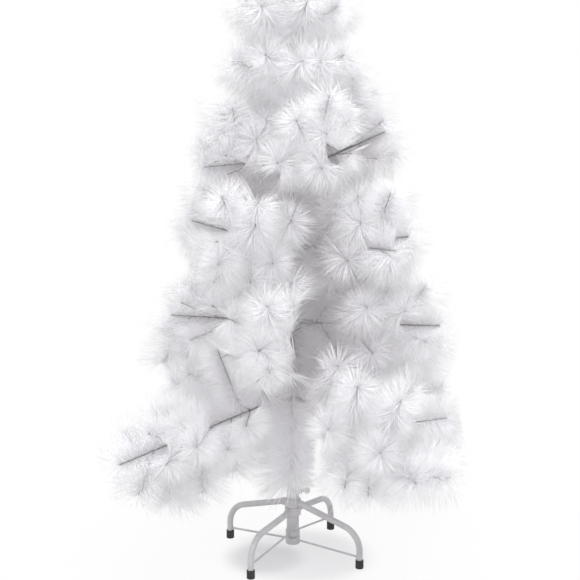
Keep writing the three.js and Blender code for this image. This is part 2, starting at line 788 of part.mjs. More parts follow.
// Garland, a bored core around the pole with radial needles
function trunkGarland() {
  const innerRadius = boreRadius(poleOuterRadius + seatGap, garlandSides);
  const outerRadius = innerRadius + garlandCoreWall;
  const profile = [];
  for (let i = 0; i <= garlandRings; i += 1) {
    profile.push({
      radius: outerRadius,
      height: THREE.MathUtils.lerp(garlandBottomHeight, garlandTopHeight, i / garlandRings),
      needled: true,
    });
  }
  const core = bristledCore(profile, garlandSides, garlandNeedleLength, garlandNeedleLean);
  const firstInner = core.points.length / 3;
  [garlandBottomHeight, garlandTopHeight].forEach((height) => {
    for (let side = 0; side < garlandSides; side += 1) {
      const turn = (side / garlandSides) * Math.PI * 2;
      core.points.push(innerRadius * Math.cos(turn), innerRadius * Math.sin(turn), height);
    }
  });
  const inner = (ring, side) => firstInner + ring * garlandSides + (side % garlandSides);
  const quad = (a, b, c, d) => core.faces.push(a, b, c, a, c, d);
  for (let side = 0; side < garlandSides; side += 1) {
    quad(inner(0, side), inner(1, side), inner(1, side + 1), inner(0, side + 1));
    quad(core.at(0, side), inner(0, side), inner(0, side + 1), core.at(0, side + 1));
    quad(core.at(garlandRings, side), core.at(garlandRings, side + 1),
      inner(1, side + 1), inner(1, side));
  }
  console.log("garland strands:", strandsIn(profile, garlandSides));
  return closedGeometry(core);
}

function closedGeometry({ points, faces }) {
  const geometry = new THREE.BufferGeometry();
  geometry.setAttribute("position", new THREE.Float32BufferAttribute(points, 3));
  geometry.setIndex(faces);
  geometry.computeVertexNormals();
  return geometry;
}

const group = new THREE.Group();

// Stand: the socket and all that turns or stays on it
const stand = new THREE.Group();
group.add(stand);
stand.add(makeMesh("stand_socket_tube", socketTube(), finishes.whitePaint));
stand.add(makeMesh("clamp_screw", clampScrew(), finishes.zinc));
stand.add(makeMesh("upper_leg_collar",
  legCollar(upperLegCollarHeight, upperLegSlope, frontRightAzimuth), finishes.whitePaint));
stand.add(makeMesh("lower_leg_collar",
  legCollar(lowerLegCollarHeight, lowerLegSlope, frontRightAzimuth + quarterTurn),
  finishes.whitePaint));
const upperBraceRingBottom = socketBottomHeight + lowerBraceRingHeight + braceRingSpacing;
stand.add(makeMesh("lower_brace_ring",
  braceRing(socketBottomHeight, lowerBraceRingHeight), finishes.whitePaint));
stand.add(makeMesh("upper_brace_ring",
  braceRing(upperBraceRingBottom, upperBraceRingHeight), finishes.whitePaint));

// Legs in the order of their directions, from the front right one
const legPlaces = [
  { name: "front_right", upper: true },
  { name: "back_right", upper: false },
  { name: "back_left", upper: true },
  { name: "front_left", upper: false },
];
legPlaces.forEach((leg, index) => {
  const corner = new THREE.Group();
  corner.rotation.z = radians(frontRightAzimuth + index * quarterTurn);
  stand.add(corner);
  const stations = leg.upper
    ? legStations(upperLegCollarHeight, upperLegSlope)
    : legStations(lowerLegCollarHeight, lowerLegSlope);
  const tube = bentTube(stations, legOuterRadius, legOuterRadius - legWall, legSides);
  const brace = leg.upper
    ? braceRod(socketBottomHeight + lowerBraceRingHeight / 2, footCapHeight + lowerBraceAboveCap)
    : braceRod(upperBraceRingBottom + upperBraceRingHeight / 2,
      footCapHeight + upperBraceAboveCap);
  corner.add(makeMesh(`leg_${leg.name}`, tube, finishes.whitePaint));
  corner.add(makeMesh(`brace_${leg.name}`, brace, finishes.whitePaint));
  corner.add(makeMesh(`foot_cap_${leg.name}`, footCap(), finishes.blackRubber));
});

// Lower section: pole, garland, hinge collars and hinged branches
const lowerSection = new THREE.Group();
group.add(lowerSection);
lowerSection.add(makeMesh("lower_pole", lowerPole(), finishes.whitePaint));
lowerSection.add(makeMesh("trunk_garland", trunkGarland(), finishes.whiteNeedles));
tiers.forEach((tier, tierIndex) => {
  const number = tierIndex + 1;
  const level = new THREE.Group();
  level.position.z = tier.height;
  lowerSection.add(level);
  level.add(makeMesh(`hinge_collar_${number}`, hingeCollar(tier), finishes.zinc));
  for (let i = 0; i < branchesPerCollar; i += 1) {
    const side = new THREE.Group();
    side.rotation.z = radians(tier.azimuth + (i * fullTurn) / branchesPerCollar);
    level.add(side);
    const branch = new THREE.Group();
    branch.position.x = hingePinCircleRadius;
    branch.rotation.y = -radians(tier.openAngle);
    side.add(branch);
    const letter = "abcd"[i];
    const own = trimmedTier(tier, i);
    branch.add(makeMesh(`branch_${number}${letter}_wire`, branchWire(own),
      finishes.greyWire));
    branch.add(makeMesh(`branch_${number}${letter}_spray`,
      branchSpray(own, tierIndex * branchesPerCollar + i), finishes.whiteNeedles));
  }
});

// Upper section: pole, fixed sprays and leader
const upperSection = new THREE.Group();
group.add(upperSection);
upperSection.add(makeMesh("upper_pole", upperPole(), finishes.whitePaint));
upperSection.add(makeMesh("top_sprays_lower", fixedSprays(lowerWhorls), finishes.whiteNeedles));
upperSection.add(makeMesh("top_sprays_upper", fixedSprays(upperWhorls), finishes.whiteNeedles));
upperSection.add(makeMesh("top_leader", topLeader(), finishes.whiteNeedles));

export default group;
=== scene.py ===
import json
import math

import bpy
import numpy as np
from mathutils import Matrix, Vector


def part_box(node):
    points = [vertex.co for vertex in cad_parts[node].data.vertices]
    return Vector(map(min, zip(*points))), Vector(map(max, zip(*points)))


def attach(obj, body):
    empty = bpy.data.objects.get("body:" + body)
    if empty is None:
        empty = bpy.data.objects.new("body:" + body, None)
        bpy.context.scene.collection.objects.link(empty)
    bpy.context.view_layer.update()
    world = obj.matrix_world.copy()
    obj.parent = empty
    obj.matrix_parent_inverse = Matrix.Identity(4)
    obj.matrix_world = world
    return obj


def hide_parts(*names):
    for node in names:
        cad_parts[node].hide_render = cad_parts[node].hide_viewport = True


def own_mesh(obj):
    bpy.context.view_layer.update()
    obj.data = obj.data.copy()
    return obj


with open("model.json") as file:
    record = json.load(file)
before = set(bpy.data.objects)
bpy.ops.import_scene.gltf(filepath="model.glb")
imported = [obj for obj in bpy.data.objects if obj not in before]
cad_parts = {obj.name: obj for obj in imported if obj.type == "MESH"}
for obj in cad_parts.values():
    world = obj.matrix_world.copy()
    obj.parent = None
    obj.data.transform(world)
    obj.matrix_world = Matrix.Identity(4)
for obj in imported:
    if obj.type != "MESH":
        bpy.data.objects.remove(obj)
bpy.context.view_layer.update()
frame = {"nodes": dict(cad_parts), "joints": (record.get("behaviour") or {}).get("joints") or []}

# Studio: a pale floor with a painted shadow under the stand, a white surround and soft light.
# The camera stands where the four feet of the stand line up with the photograph.
FRAME_WIDTH_PX = 580
FOCAL_LENGTH_PX = 1198.4
POLE_RIGHT_OF_CENTRE_PX = 2.9
CAMERA_DISTANCE = 2.2535
CAMERA_HEIGHT = 0.9106
CAMERA_TILT = 9.66
SENSOR_WIDTH_MM = 36
FLOOR_HALF_SIZE = 30
# Painted shadow on the floor: each place's centre, share, and the radii where the shade is full
# and where it ends.
FLOOR_PAINTED_SHADOWS = [{"centre": (-0.055, -0.03, 0), "share": 0.4, "inner": 0.04, "outer": 0.1},
                {"centre": (0.012, -0.015, 0), "share": 0.5, "inner": 0.09, "outer": 0.175},
                {"centre": (0, 0, 0), "share": 0.1, "inner": 0.18, "outer": 0.7}]
FLOOR_BOUNCE = (0.82, 0.82, 0.82, 1)
# Darker floor colour under the painted shadow, lifted by a faint glow; the real shadow also falls
# on it.
FLOOR_PAINTED_SHADOW_COLOUR = (0.6, 0.59, 0.61, 1)
FLOOR_GLOW = 0.28
WHITE = (1, 1, 1, 1)
SURROUND_COLOUR = (0.985, 0.99, 1, 1)
SURROUND_LIGHT = 0.7
LAMP_POWER = 38
LAMP_SIZE = 2.2
LAMP_PLACE = (0.3, -0.35, 2.7)
AIM_HEIGHT = 0.8
SUN_STRENGTH = 0.6
SUN_SOFTNESS = 80
SUN_AZIMUTH = -115
SUN_ELEVATION = 38


def look_from_the_front():
    camera = bpy.data.cameras.new("camera")
    camera.sensor_width = SENSOR_WIDTH_MM
    camera.lens = SENSOR_WIDTH_MM * FOCAL_LENGTH_PX / FRAME_WIDTH_PX
    camera.clip_end = 2 * FLOOR_HALF_SIZE
    holder = bpy.data.objects.new("camera", camera)
    slant = CAMERA_DISTANCE / math.cos(math.radians(CAMERA_TILT))
    left = -POLE_RIGHT_OF_CENTRE_PX / FOCAL_LENGTH_PX * slant
    holder.location = (left, -CAMERA_DISTANCE, CAMERA_HEIGHT)
    holder.rotation_euler = (math.radians(90 - CAMERA_TILT), 0, 0)
    bpy.context.scene.collection.objects.link(holder)
    bpy.context.scene.camera = holder


def new_node(tree, kind, inputs=None, **settings):
    """A node with its settings, and a value or another node's output on each named input."""
    made = tree.nodes.new("ShaderNode" + kind)
    for name, value in settings.items():
        setattr(made, name, value)
    for key, value in (inputs or {}).items():
        if isinstance(value, bpy.types.NodeSocket):
            tree.links.new(value, made.inputs[key])
        else:
            made.inputs[key].default_value = value
    return made


def seen_directly(tree):
    """1 where a camera, glossy or transmitted ray looks, 0 for light that falls on things."""
    rays = new_node(tree, "LightPath").outputs
    seen = rays["Is Camera Ray"]
    for kind in ("Is Glossy Ray", "Is Transmission Ray"):
        seen = new_node(tree, "Math", {0: seen, 1: rays[kind]}, operation="MAXIMUM").outputs[0]
    return seen


def white_surround():
    world = bpy.data.worlds.new("white_surround")
    world.use_nodes = True
    tree = world.node_tree
    tree.nodes.clear()
    light = new_node(tree, "Background", {"Color": SURROUND_COLOUR, "Strength": SURROUND_LIGHT})
    backdrop = new_node(tree, "Background", {"Color": WHITE})
    mix = new_node(tree, "MixShader",
                   {0: seen_directly(tree), 1: light.outputs[0], 2: backdrop.outputs[0]})
    new_node(tree, "OutputWorld", {0: mix.outputs[0]})
    bpy.context.scene.world = world


def floor_shade(tree):
    """Share of the painted shadow under the tree, from 0 to 1, as fades around three places."""
    place = new_node(tree, "TexCoord")
    near = 0
    for shade in FLOOR_PAINTED_SHADOWS:
        away = new_node(tree, "VectorMath", {0: place.outputs["Object"], 1: shade["centre"]},
                        operation="DISTANCE")
        fade = new_node(tree, "MapRange",
                        {"Value": away.outputs["Value"], "From Min": shade["inner"],
                         "From Max": shade["outer"], "To Min": shade["share"], "To Max": 0},
                        interpolation_type="SMOOTHERSTEP")
        near = new_node(tree, "Math", {0: fade.outputs["Result"], 1: near},
                        operation="ADD").outputs[0]
    return near


def pale_floor():
    half = FLOOR_HALF_SIZE
    mesh = bpy.data.meshes.new("floor")
    mesh.from_pydata([(-half, -half, 0), (half, -half, 0), (half, half, 0), (-half, half, 0)],
                     [], [(0, 1, 2, 3)])
    floor = bpy.data.objects.new("floor", mesh)
    bpy.context.scene.collection.objects.link(floor)
    finish = bpy.data.materials.new("pale_floor")
    finish.use_nodes = True
    tree = finish.node_tree
    tree.nodes.clear()
    bounce = new_node(tree, "BsdfDiffuse", {"Color": FLOOR_BOUNCE})
    shaded = new_node(tree, "BsdfDiffuse", {"Color": FLOOR_PAINTED_SHADOW_COLOUR})
    glow = new_node(tree, "Emission", {"Color": WHITE, "Strength": FLOOR_GLOW})
    white = new_node(tree, "Emission", {"Color": WHITE})
    # Painted shadow: seen directly, the floor is white except around the given places, where the
    # darker diffuse colour with a faint glow is faded in.
    under = new_node(tree, "AddShader", {0: shaded.outputs[0], 1: glow.outputs[0]})
    faded = new_node(tree, "MixShader",
                     {0: floor_shade(tree), 1: white.outputs[0], 2: under.outputs[0]})
    mix = new_node(tree, "MixShader",
                   {0: seen_directly(tree), 1: bounce.outputs[0], 2: faded.outputs[0]})
    new_node(tree, "OutputMaterial", {0: mix.outputs[0]})
    floor.data.materials.append(finish)


def way_of(azimuth, elevation):
    turn, rise = math.radians(azimuth), math.radians(elevation)
    return Vector((math.cos(turn) * math.cos(rise), math.sin(turn) * math.cos(rise),
                   math.sin(rise)))


def aimed_light(name, lamp, toward, place=(0, 0, 0)):
    holder = bpy.data.objects.new(name, lamp)
    holder.location = place
    holder.rotation_euler = toward.to_track_quat("Z", "Y").to_euler()
    bpy.context.scene.collection.objects.link(holder)


def top_light():
    lamp = bpy.data.lights.new("top_light", "AREA")
    lamp.energy = LAMP_POWER
    lamp.shape = "DISK"
    lamp.size = LAMP_SIZE
    aimed_light("top_light", lamp, Vector(LAMP_PLACE) - Vector((0, 0, AIM_HEIGHT)), LAMP_PLACE)


def front_light():
    lamp = bpy.data.lights.new("front_light", "SUN")
    lamp.energy = SUN_STRENGTH
    lamp.angle = math.radians(SUN_SOFTNESS)
    aimed_light("front_light", lamp, way_of(SUN_AZIMUTH, SUN_ELEVATION))


look_from_the_front()
white_surround()
top_light()
front_light()
pale_floor()
bpy.context.scene.view_settings.view_transform = "Standard"

# Socket: a steel tube with a closed, rounded lower end that the pole drops into.
# It is powder coated in a pale grey white, and its clamp nut is welded on.
SOCKET_OUTER_RADIUS = 0.012
SOCKET_WALL = 0.0015
SOCKET_BOTTOM = 0.020
SOCKET_TOP = 0.140
SOCKET_EDGE = 0.0006
SOCKET_FLOOR = 0.002
SOCKET_DOME_SHARE = 0.35
TUBE_SIDES = 48
CLAMP_HEIGHT = 0.128
CLAMP_NUT_RADIUS = 0.0065
CLAMP_NUT_LENGTH = 0.006
PAINT_PALE = (0.68, 0.665, 0.68, 1)
PAINT_SHADED = (0.55, 0.535, 0.55, 1)


def worked_surface_group():
    """Faint blotches and fine bumps that several finishes share."""
    group = bpy.data.node_groups.new("worked_surface", "ShaderNodeTree")
    for name, usual in (("Blotch Scale", 20), ("Grain Scale", 900), ("Grain Height", 0.1)):
        socket = group.interface.new_socket(name, in_out="INPUT", socket_type="NodeSocketFloat")
        socket.default_value = usual
    group.interface.new_socket("Blotch", in_out="OUTPUT", socket_type="NodeSocketFloat")
    group.interface.new_socket("Normal", in_out="OUTPUT", socket_type="NodeSocketVector")
    given = group.nodes.new("NodeGroupInput").outputs
    place = new_node(group, "TexCoord").outputs["Object"]
    blotch = new_node(group, "TexNoise", {"Vector": place, "Scale": given["Blotch Scale"],
                                          "Detail": 4, "Roughness": 0.62})
    spread = new_node(group, "MapRange", {"Value": blotch.outputs["Fac"],
                                          "From Min": 0.34, "From Max": 0.68})
    grain = new_node(group, "TexNoise", {"Vector": place, "Scale": given["Grain Scale"],
                                         "Detail": 2})
    bump = new_node(group, "Bump", {"Height": grain.outputs["Fac"], "Distance": 0.0004,
                                    "Strength": given["Grain Height"]})
    out = group.nodes.new("NodeGroupOutput").inputs
    group.links.new(spread.outputs["Result"], out["Blotch"])
    group.links.new(bump.outputs["Normal"], out["Normal"])
    return group


worked_surface = worked_surface_group()


def worked_finish(name, pale, dark, roughness, metallic, blotch_scale, grain_scale,
                  grain_height, specular=0.5):
    """A finish whose colour and gloss vary a little, with a fine grain."""
    finish = bpy.data.materials.new(name)
    finish.use_nodes = True
    tree = finish.node_tree
    surface = new_node(tree, "Group", {"Blotch Scale": blotch_scale, "Grain Scale": grain_scale,
                                       "Grain Height": grain_height}, node_tree=worked_surface)
    blotch = surface.outputs["Blotch"]
    colour = new_node(tree, "Mix", {"Factor": blotch, "A": dark, "B": pale}, data_type="RGBA")
    gloss = new_node(tree, "MapRange", {"Value": blotch, "To Min": roughness[0],
                                        "To Max": roughness[1]})
    shader = tree.nodes["Principled BSDF"]
    tree.links.new(colour.outputs["Result"], shader.inputs["Base Color"])
    tree.links.new(gloss.outputs["Result"], shader.inputs["Roughness"])
    tree.links.new(surface.outputs["Normal"], shader.inputs["Normal"])
    shader.inputs["Metallic"].default_value = metallic
    shader.inputs["Specular IOR Level"].default_value = specular
    return finish


stand_paint = worked_finish("stand_paint", PAINT_PALE, PAINT_SHADED, roughness=(0.34, 0.5),
                            metallic=0, blotch_scale=26, grain_scale=1500,
                            grain_height=0.12)


def placed(name, mesh, finish, body, node=None):
    """A finished mesh as a piece on a body, in the stead of a CAD node if one is given."""
    mesh.materials.append(finish)
    thing = bpy.data.objects.new(name, mesh)
    bpy.context.scene.collection.objects.link(thing)
    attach(thing, body)
    if node:
        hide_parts(node)
    return thing


def piece(name, part, finish, body, node=None, crease=32):
    """A smooth-shaded piece of points and faces, with edges sharper than crease kept."""
    mesh = bpy.data.meshes.new(name)
    mesh.from_pydata([tuple(p) for p in part[0]], [], [tuple(f) for f in part[1]])
    mesh.polygons.foreach_set("use_smooth", [True] * len(mesh.polygons))
    mesh.set_sharp_from_angle(angle=math.radians(crease))
    return placed(name, mesh, finish, body, node)


def painted(name, part, body, node, crease=32):
    piece(name, part, stand_paint, body, node, crease)


def turned(profile, sides=TUBE_SIDES):
    """Points and faces of a profile of (radius, height) turned about Z, axis to axis."""
    points, faces, rings = [], [], []
    for radius, height in profile:
        if radius == 0:
            rings.append([len(points)] * sides)
            points.append((0, 0, height))
            continue
        rings.append(list(range(len(points), len(points) + sides)))
        for k in range(sides):
            turn = 2 * math.pi * k / sides
            points.append((radius * math.cos(turn), radius * math.sin(turn), height))
    for low, high in zip(rings, rings[1:]):
        for k in range(sides):
            corner = [low[k], low[(k + 1) % sides], high[(k + 1) % sides], high[k]]
            faces.append(list(dict.fromkeys(corner)))
    return points, faces


def turned_hollow(profile):
    """A profile that never meets the axis, turned about Z and closed on itself."""
    points, faces = turned(profile + profile[:1])
    count = len(points) - TUBE_SIDES
    return points[:count], [[i - count if i >= count else i for i in face] for face in faces]


def turned_ring(inner, outer, bottom, top, edge):
    """A ring about Z with a small chamfer on its outer edges."""
    return turned_hollow([(inner, bottom), (outer - edge, bottom), (outer, bottom + edge),
                          (outer, top - edge), (outer - edge, top), (inner, top)])


def moved(part, matrix):
    points, faces = part
    return [tuple(matrix @ Vector(p)) for p in points], faces


def together(*parts):
    points, faces = [], []
    for part_points, part_faces in parts:
        start = len(points)
        points += list(part_points)
        faces += [[i + start for i in face] for face in part_faces]
    return points, faces


def along_x(start, height=0):
    """Turns a piece that is drawn along Z to lie along X from start, at a height."""
    return Matrix.Translation((start, 0, height)) @ Matrix.Rotation(math.pi / 2, 4, "Y")


def rounded_rod(radius, length, edge, sides=24):
    return turned([(0, 0), (radius - edge, 0), (radius, edge), (radius, length - edge),
                   (radius - edge, length), (0, length)], sides)


def socket_tube():
    outer = SOCKET_OUTER_RADIUS
    inner = outer - SOCKET_WALL
    dome = [(outer * math.sin(t), SOCKET_BOTTOM + outer * SOCKET_DOME_SHARE * (1 - math.cos(t)))
            for t in np.linspace(0, math.pi / 2, 8)]
    body = dome + [(outer, SOCKET_TOP - SOCKET_EDGE), (outer - SOCKET_EDGE, SOCKET_TOP),
                   (inner, SOCKET_TOP), (inner, SOCKET_BOTTOM + SOCKET_FLOOR),
                   (0, SOCKET_BOTTOM + SOCKET_FLOOR)]
    nut = moved(rounded_rod(CLAMP_NUT_RADIUS, SOCKET_WALL / 2 + CLAMP_NUT_LENGTH,
                            SOCKET_EDGE, sides=6),
                along_x(outer - SOCKET_WALL / 2, CLAMP_HEIGHT))
    painted("socket_tube", together(turned(body), nut), "stand", "stand_socket_tube")


socket_tube()

# Leg collars: two rings on the socket with a stub for each leg that is pushed in and welded.
# The upper one is fixed, the lower one turns, so that the stand folds flat.
COLLAR_HEIGHTS = {"stand": 0.104, "turning_legs": 0.087}
COLLAR_HALF_HEIGHT = 0.00835
COLLAR_WALL = 0.0034
COLLAR_GAP = 0.0003
STUB_RADIUS = 0.0077
STUB_REACH = 0.007
LEG_SLOPES = {"stand": 15, "turning_legs": 6}
FRONT_RIGHT_AZIMUTH = -31.8


def turn_about_pole(degrees):
    return Matrix.Rotation(math.radians(degrees), 4, "Z")


def leg_collar(name, node, body, azimuth):
    height = COLLAR_HEIGHTS[body]
    inner = SOCKET_OUTER_RADIUS + COLLAR_GAP
    outer = inner + COLLAR_WALL
    ring = turned_ring(inner, outer, height - COLLAR_HALF_HEIGHT,
                       height + COLLAR_HALF_HEIGHT, COLLAR_HALF_HEIGHT / 8)
    stub = rounded_rod(STUB_RADIUS, COLLAR_WALL / 2 + STUB_REACH, COLLAR_GAP * 2, sides=32)
    droop = Matrix.Rotation(math.radians(LEG_SLOPES[body]), 4, "Y")
    seat = Matrix.Translation((outer - COLLAR_WALL / 2, 0, height))
    stubs = [moved(stub, turn_about_pole(azimuth + half) @ seat @ droop @ along_x(0))
             for half in (0, 180)]
    painted(name, together(ring, *stubs), body, node)


leg_collar("fixed_leg_collar", "upper_leg_collar", "stand", FRONT_RIGHT_AZIMUTH)
leg_collar("turning_leg_collar", "lower_leg_collar", "turning_legs", FRONT_RIGHT_AZIMUTH + 90)

# Legs: four round steel tubes, each drawn down from its collar and bent to stand upright.
# They are coated like the socket, and a rubber foot is pushed over each end.
FOOT_CIRCLE_RADIUS = 0.150
LEG_RADIUS = 0.006
LEG_BEND_RADIUS = 0.045
LEG_START = 0.016
LEG_CREASE = 50
FOOT_WALL = 0.0015
FOOT_GAP = 0.0003
FOOT_HEIGHT = 0.017
FOOT_FLOOR = 0.003
FOOT_EDGE = 0.0012
BEND_STEPS = 14
RUBBER_BLACK = (0.042, 0.039, 0.041, 1)
RUBBER_DUSTY = (0.075, 0.071, 0.074, 1)
foot_rubber = worked_finish("foot_rubber", RUBBER_DUSTY, RUBBER_BLACK, roughness=(0.62, 0.85),
                            metallic=0, blotch_scale=70, grain_scale=2400, grain_height=0.35,
                            specular=0.3)
legs = [("front_right", "stand"), ("back_right", "turning_legs"), ("back_left", "stand"),
        ("front_left", "turning_legs")]


def leg_line(body):
    """Centreline of a leg in the XZ plane, from its collar to inside its foot."""
    height, drop = COLLAR_HEIGHTS[body], math.radians(LEG_SLOPES[body])
    bend_x = FOOT_CIRCLE_RADIUS - LEG_BEND_RADIUS
    run = bend_x + LEG_BEND_RADIUS * math.sin(drop) - LEG_START
    bend_z = height - run * math.tan(drop) - LEG_BEND_RADIUS * math.cos(drop)
    line = [(LEG_START, 0, height)]
    for angle in np.linspace(math.pi / 2 - drop, 0, BEND_STEPS):
        line.append((bend_x + LEG_BEND_RADIUS * math.cos(angle), 0,
                     bend_z + LEG_BEND_RADIUS * math.sin(angle)))
    line.append((FOOT_CIRCLE_RADIUS, 0, FOOT_FLOOR + FOOT_GAP))
    return line


def bridged(rings, sides):
    """Faces between neighbouring rings of points."""
    return [[i * sides + (k + 1) % sides, i * sides + k, (i + 1) * sides + k,
             (i + 1) * sides + (k + 1) % sides] for i in range(rings - 1) for k in range(sides)]


def swept(line, radius, sides=32):
    """A round rod along a line of points, with closed ends."""
    line = [Vector(p) for p in line]
    points, side = [], Vector((0, 1, 0))
    for i, centre in enumerate(line):
        before, after = line[max(i - 1, 0)], line[min(i + 1, len(line) - 1)]
        way = (after - before).normalized()
        up = side.cross(way).normalized()
        across = way.cross(up)
        for k in range(sides):
            turn = 2 * math.pi * k / sides
            points.append(centre + radius * (math.cos(turn) * across + math.sin(turn) * up))
    ends = [list(range(sides)), list(range(len(points) - sides, len(points)))[::-1]]
    return points, bridged(len(line), sides) + ends


def rubber_foot():
    outer = LEG_RADIUS + FOOT_GAP + FOOT_WALL
    inner = LEG_RADIUS + FOOT_GAP / 2
    edge = FOOT_EDGE
    corner = [(outer - edge + edge * math.sin(t), edge - edge * math.cos(t))
              for t in np.linspace(0, math.pi / 2, 5)]
    lip = [(outer, FOOT_HEIGHT - edge / 2), (outer - edge / 2, FOOT_HEIGHT), (inner, FOOT_HEIGHT),
           (inner, FOOT_FLOOR), (0, FOOT_FLOOR)]
    return moved(turned([(0, 0)] + corner + lip, sides=40),
                 Matrix.Translation((FOOT_CIRCLE_RADIUS, 0, 0)))


for index, (corner, body) in enumerate(legs):
    turn = turn_about_pole(FRONT_RIGHT_AZIMUTH + 90 * index)
    painted("leg_tube_" + corner, moved(swept(leg_line(body), LEG_RADIUS), turn), body,
            "leg_" + corner, LEG_CREASE)
    piece("rubber_foot_" + corner, moved(rubber_foot(), turn), foot_rubber, body,
          "foot_cap_" + corner)

# Braces: thin rods from two rings on the socket's lower end to the legs, welded at both ends.
# The upper ring turns with the lower legs, and three small dimples mark the seam between them;
# they are drawn as dark bumps in the black rubber finish, a painted shade of the seam.
RING_OUTER_RADIUS = 0.0139
LOWER_RING = (0.020, 0.036)
UPPER_RING = (0.0368, 0.0488)
RING_EDGE = 0.0012
BRACE_RADIUS = 0.002
BRACE_END_SHARE = 0.9
BRACE_LEG_HEIGHTS = {"stand": 0.022, "turning_legs": 0.027}
BRACE_RING_HEIGHTS = {"stand": 0.028, "turning_legs": 0.0428}
WELD_RADIUS = 0.0031
DIMPLE_RADIUS = 0.0011
DIMPLE_SUNK_SHARE = 0.7
DIMPLE_DROP_SHARE = 1.5
DIMPLE_SPREAD = 21
DIMPLE_AZIMUTH = -90


def weld_bead():
    round_side = [(WELD_RADIUS * math.sin(t), WELD_RADIUS * (1 - math.cos(t)) / 2)
                  for t in np.linspace(0, math.pi, 9)[1:-1]]
    return turned([(0, 0)] + round_side + [(0, WELD_RADIUS)], sides=20)


def brace_ring(name, node, body, span):
    ring = turned_ring(SOCKET_OUTER_RADIUS + COLLAR_GAP, RING_OUTER_RADIUS, *span, RING_EDGE)
    painted(name, ring, body, node)


def brace_rod(azimuth, body):
    start = Vector((RING_OUTER_RADIUS - RING_EDGE / 2, 0, BRACE_RING_HEIGHTS[body]))
    end = Vector((FOOT_CIRCLE_RADIUS - LEG_RADIUS * BRACE_END_SHARE, 0, BRACE_LEG_HEIGHTS[body]))
    way = end - start
    lay = Matrix.Translation(start) @ way.to_track_quat("Z", "Y").to_matrix().to_4x4()
    rod = moved(rounded_rod(BRACE_RADIUS, way.length, RING_EDGE / 2, sides=20), lay)
    at_ring = moved(weld_bead(), lay)
    at_leg = moved(weld_bead(), lay @ Matrix.Translation((0, 0, way.length - WELD_RADIUS)))
    return moved(together(rod, at_ring, at_leg), turn_about_pole(azimuth))


brace_ring("fixed_brace_ring", "lower_brace_ring", "stand", LOWER_RING)
brace_ring("turning_brace_ring", "upper_brace_ring", "turning_legs", UPPER_RING)
for index, (corner, body) in enumerate(legs):
    painted("brace_rod_" + corner, brace_rod(FRONT_RIGHT_AZIMUTH + 90 * index, body), body,
            "brace_" + corner)


def painted_shade_dimples():
    # Painted shade: the dimples are small bumps in the black rubber finish, standing for the
    # shade in the seam.
    dot = rounded_rod(DIMPLE_RADIUS, DIMPLE_RADIUS, DIMPLE_RADIUS / 4, sides=12)
    seat = along_x(RING_OUTER_RADIUS - DIMPLE_RADIUS * DIMPLE_SUNK_SHARE,
                   LOWER_RING[1] - DIMPLE_RADIUS * DIMPLE_DROP_SHARE)
    dots = [moved(dot, turn_about_pole(DIMPLE_AZIMUTH + k * DIMPLE_SPREAD) @ seat)
            for k in (-1, 0, 1)]
    piece("painted_shade_dimples", together(*dots), foot_rubber, "stand")


painted_shade_dimples()

# Clamp screw: a zinc plated thumb screw in the socket's welded nut, pressed on the pole.
# Its head is a flattened paddle, and its shank shows a rolled thread.
SCREW_RADIUS = 0.0028
SCREW_THREAD_PITCH = 0.0011
SCREW_THREAD_DEPTH = 0.00035
SCREW_TIP = 0.0098
PADDLE_START = 0.022
PADDLE_LENGTH = 0.005
PADDLE_RADIUS = 0.0065
PADDLE_THICKNESS = 0.003
PADDLE_EDGE = 0.0008
ZINC_BRIGHT = (0.62, 0.63, 0.65, 1)
ZINC_DULL = (0.42, 0.43, 0.45, 1)
zinc = worked_finish("zinc_plate", ZINC_BRIGHT, ZINC_DULL, roughness=(0.28, 0.46), metallic=1,
                     blotch_scale=120, grain_scale=3000, grain_height=0.08)


def clamp_screw():
    profile = [(0, SCREW_TIP)]
    for i in range(int((PADDLE_START - SCREW_TIP) / SCREW_THREAD_PITCH)):
        base = SCREW_TIP + i * SCREW_THREAD_PITCH
        profile.append((SCREW_RADIUS - SCREW_THREAD_DEPTH, base))
        profile.append((SCREW_RADIUS, base + SCREW_THREAD_PITCH / 2))
    end = PADDLE_START + PADDLE_LENGTH / 2
    profile += [(SCREW_RADIUS, PADDLE_START), (SCREW_RADIUS, end), (0, end)]
    shank = moved(turned(profile, sides=24), Matrix.Rotation(math.pi / 2, 4, "Y"))
    centre = PADDLE_START + PADDLE_LENGTH
    arc = [(centre + PADDLE_RADIUS * math.cos(t), PADDLE_RADIUS * math.sin(t))
           for t in np.linspace(-math.pi / 2, math.pi / 2, 17)]
    outline = [(PADDLE_START, -SCREW_RADIUS)] + arc + [(PADDLE_START, SCREW_RADIUS)]
    half = PADDLE_THICKNESS / 2
    points = []
    for inset, y in ((PADDLE_EDGE, -half), (0, PADDLE_EDGE - half), (0, half - PADDLE_EDGE),
                     (PADDLE_EDGE, half)):
        for x, z in outline:
            inward = (Vector((centre, 0)) - Vector((x, z))).normalized() * inset
            points.append((x + inward.x, y, z + inward.y))
    sides = len(outline)
    ends = [list(range(sides)), list(range(3 * sides, 4 * sides))[::-1]]
    points, faces = together(shank, (points, ends + bridged(4, sides)))
    lifted = [(x, y, z + CLAMP_HEIGHT) for x, y, z in points]
    piece("thumb_screw", (lifted, faces), zinc, "clamp_screw", "clamp_screw")


clamp_screw()

# Pole: a lower tube that stands in the socket and an upper tube whose swaged end plugs into it.
# Both are coated like the stand, and the upper one is drawn in at its top for the leader.
POLE_RADIUS = 0.0095
POLE_WALL = 0.001
POLE_EDGE = 0.0004
SWAGE_LENGTH = 0.050
SWAGE_RADIUS = 0.0081
POLE_TIP_RADIUS = 0.005
POLE_TIP_LENGTH = 0.024
pole_low, lower_pole_top = (corner.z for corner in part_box("lower_pole"))
upper_pole_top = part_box("upper_pole")[1].z
pole_shoulder = upper_pole_top - POLE_TIP_LENGTH


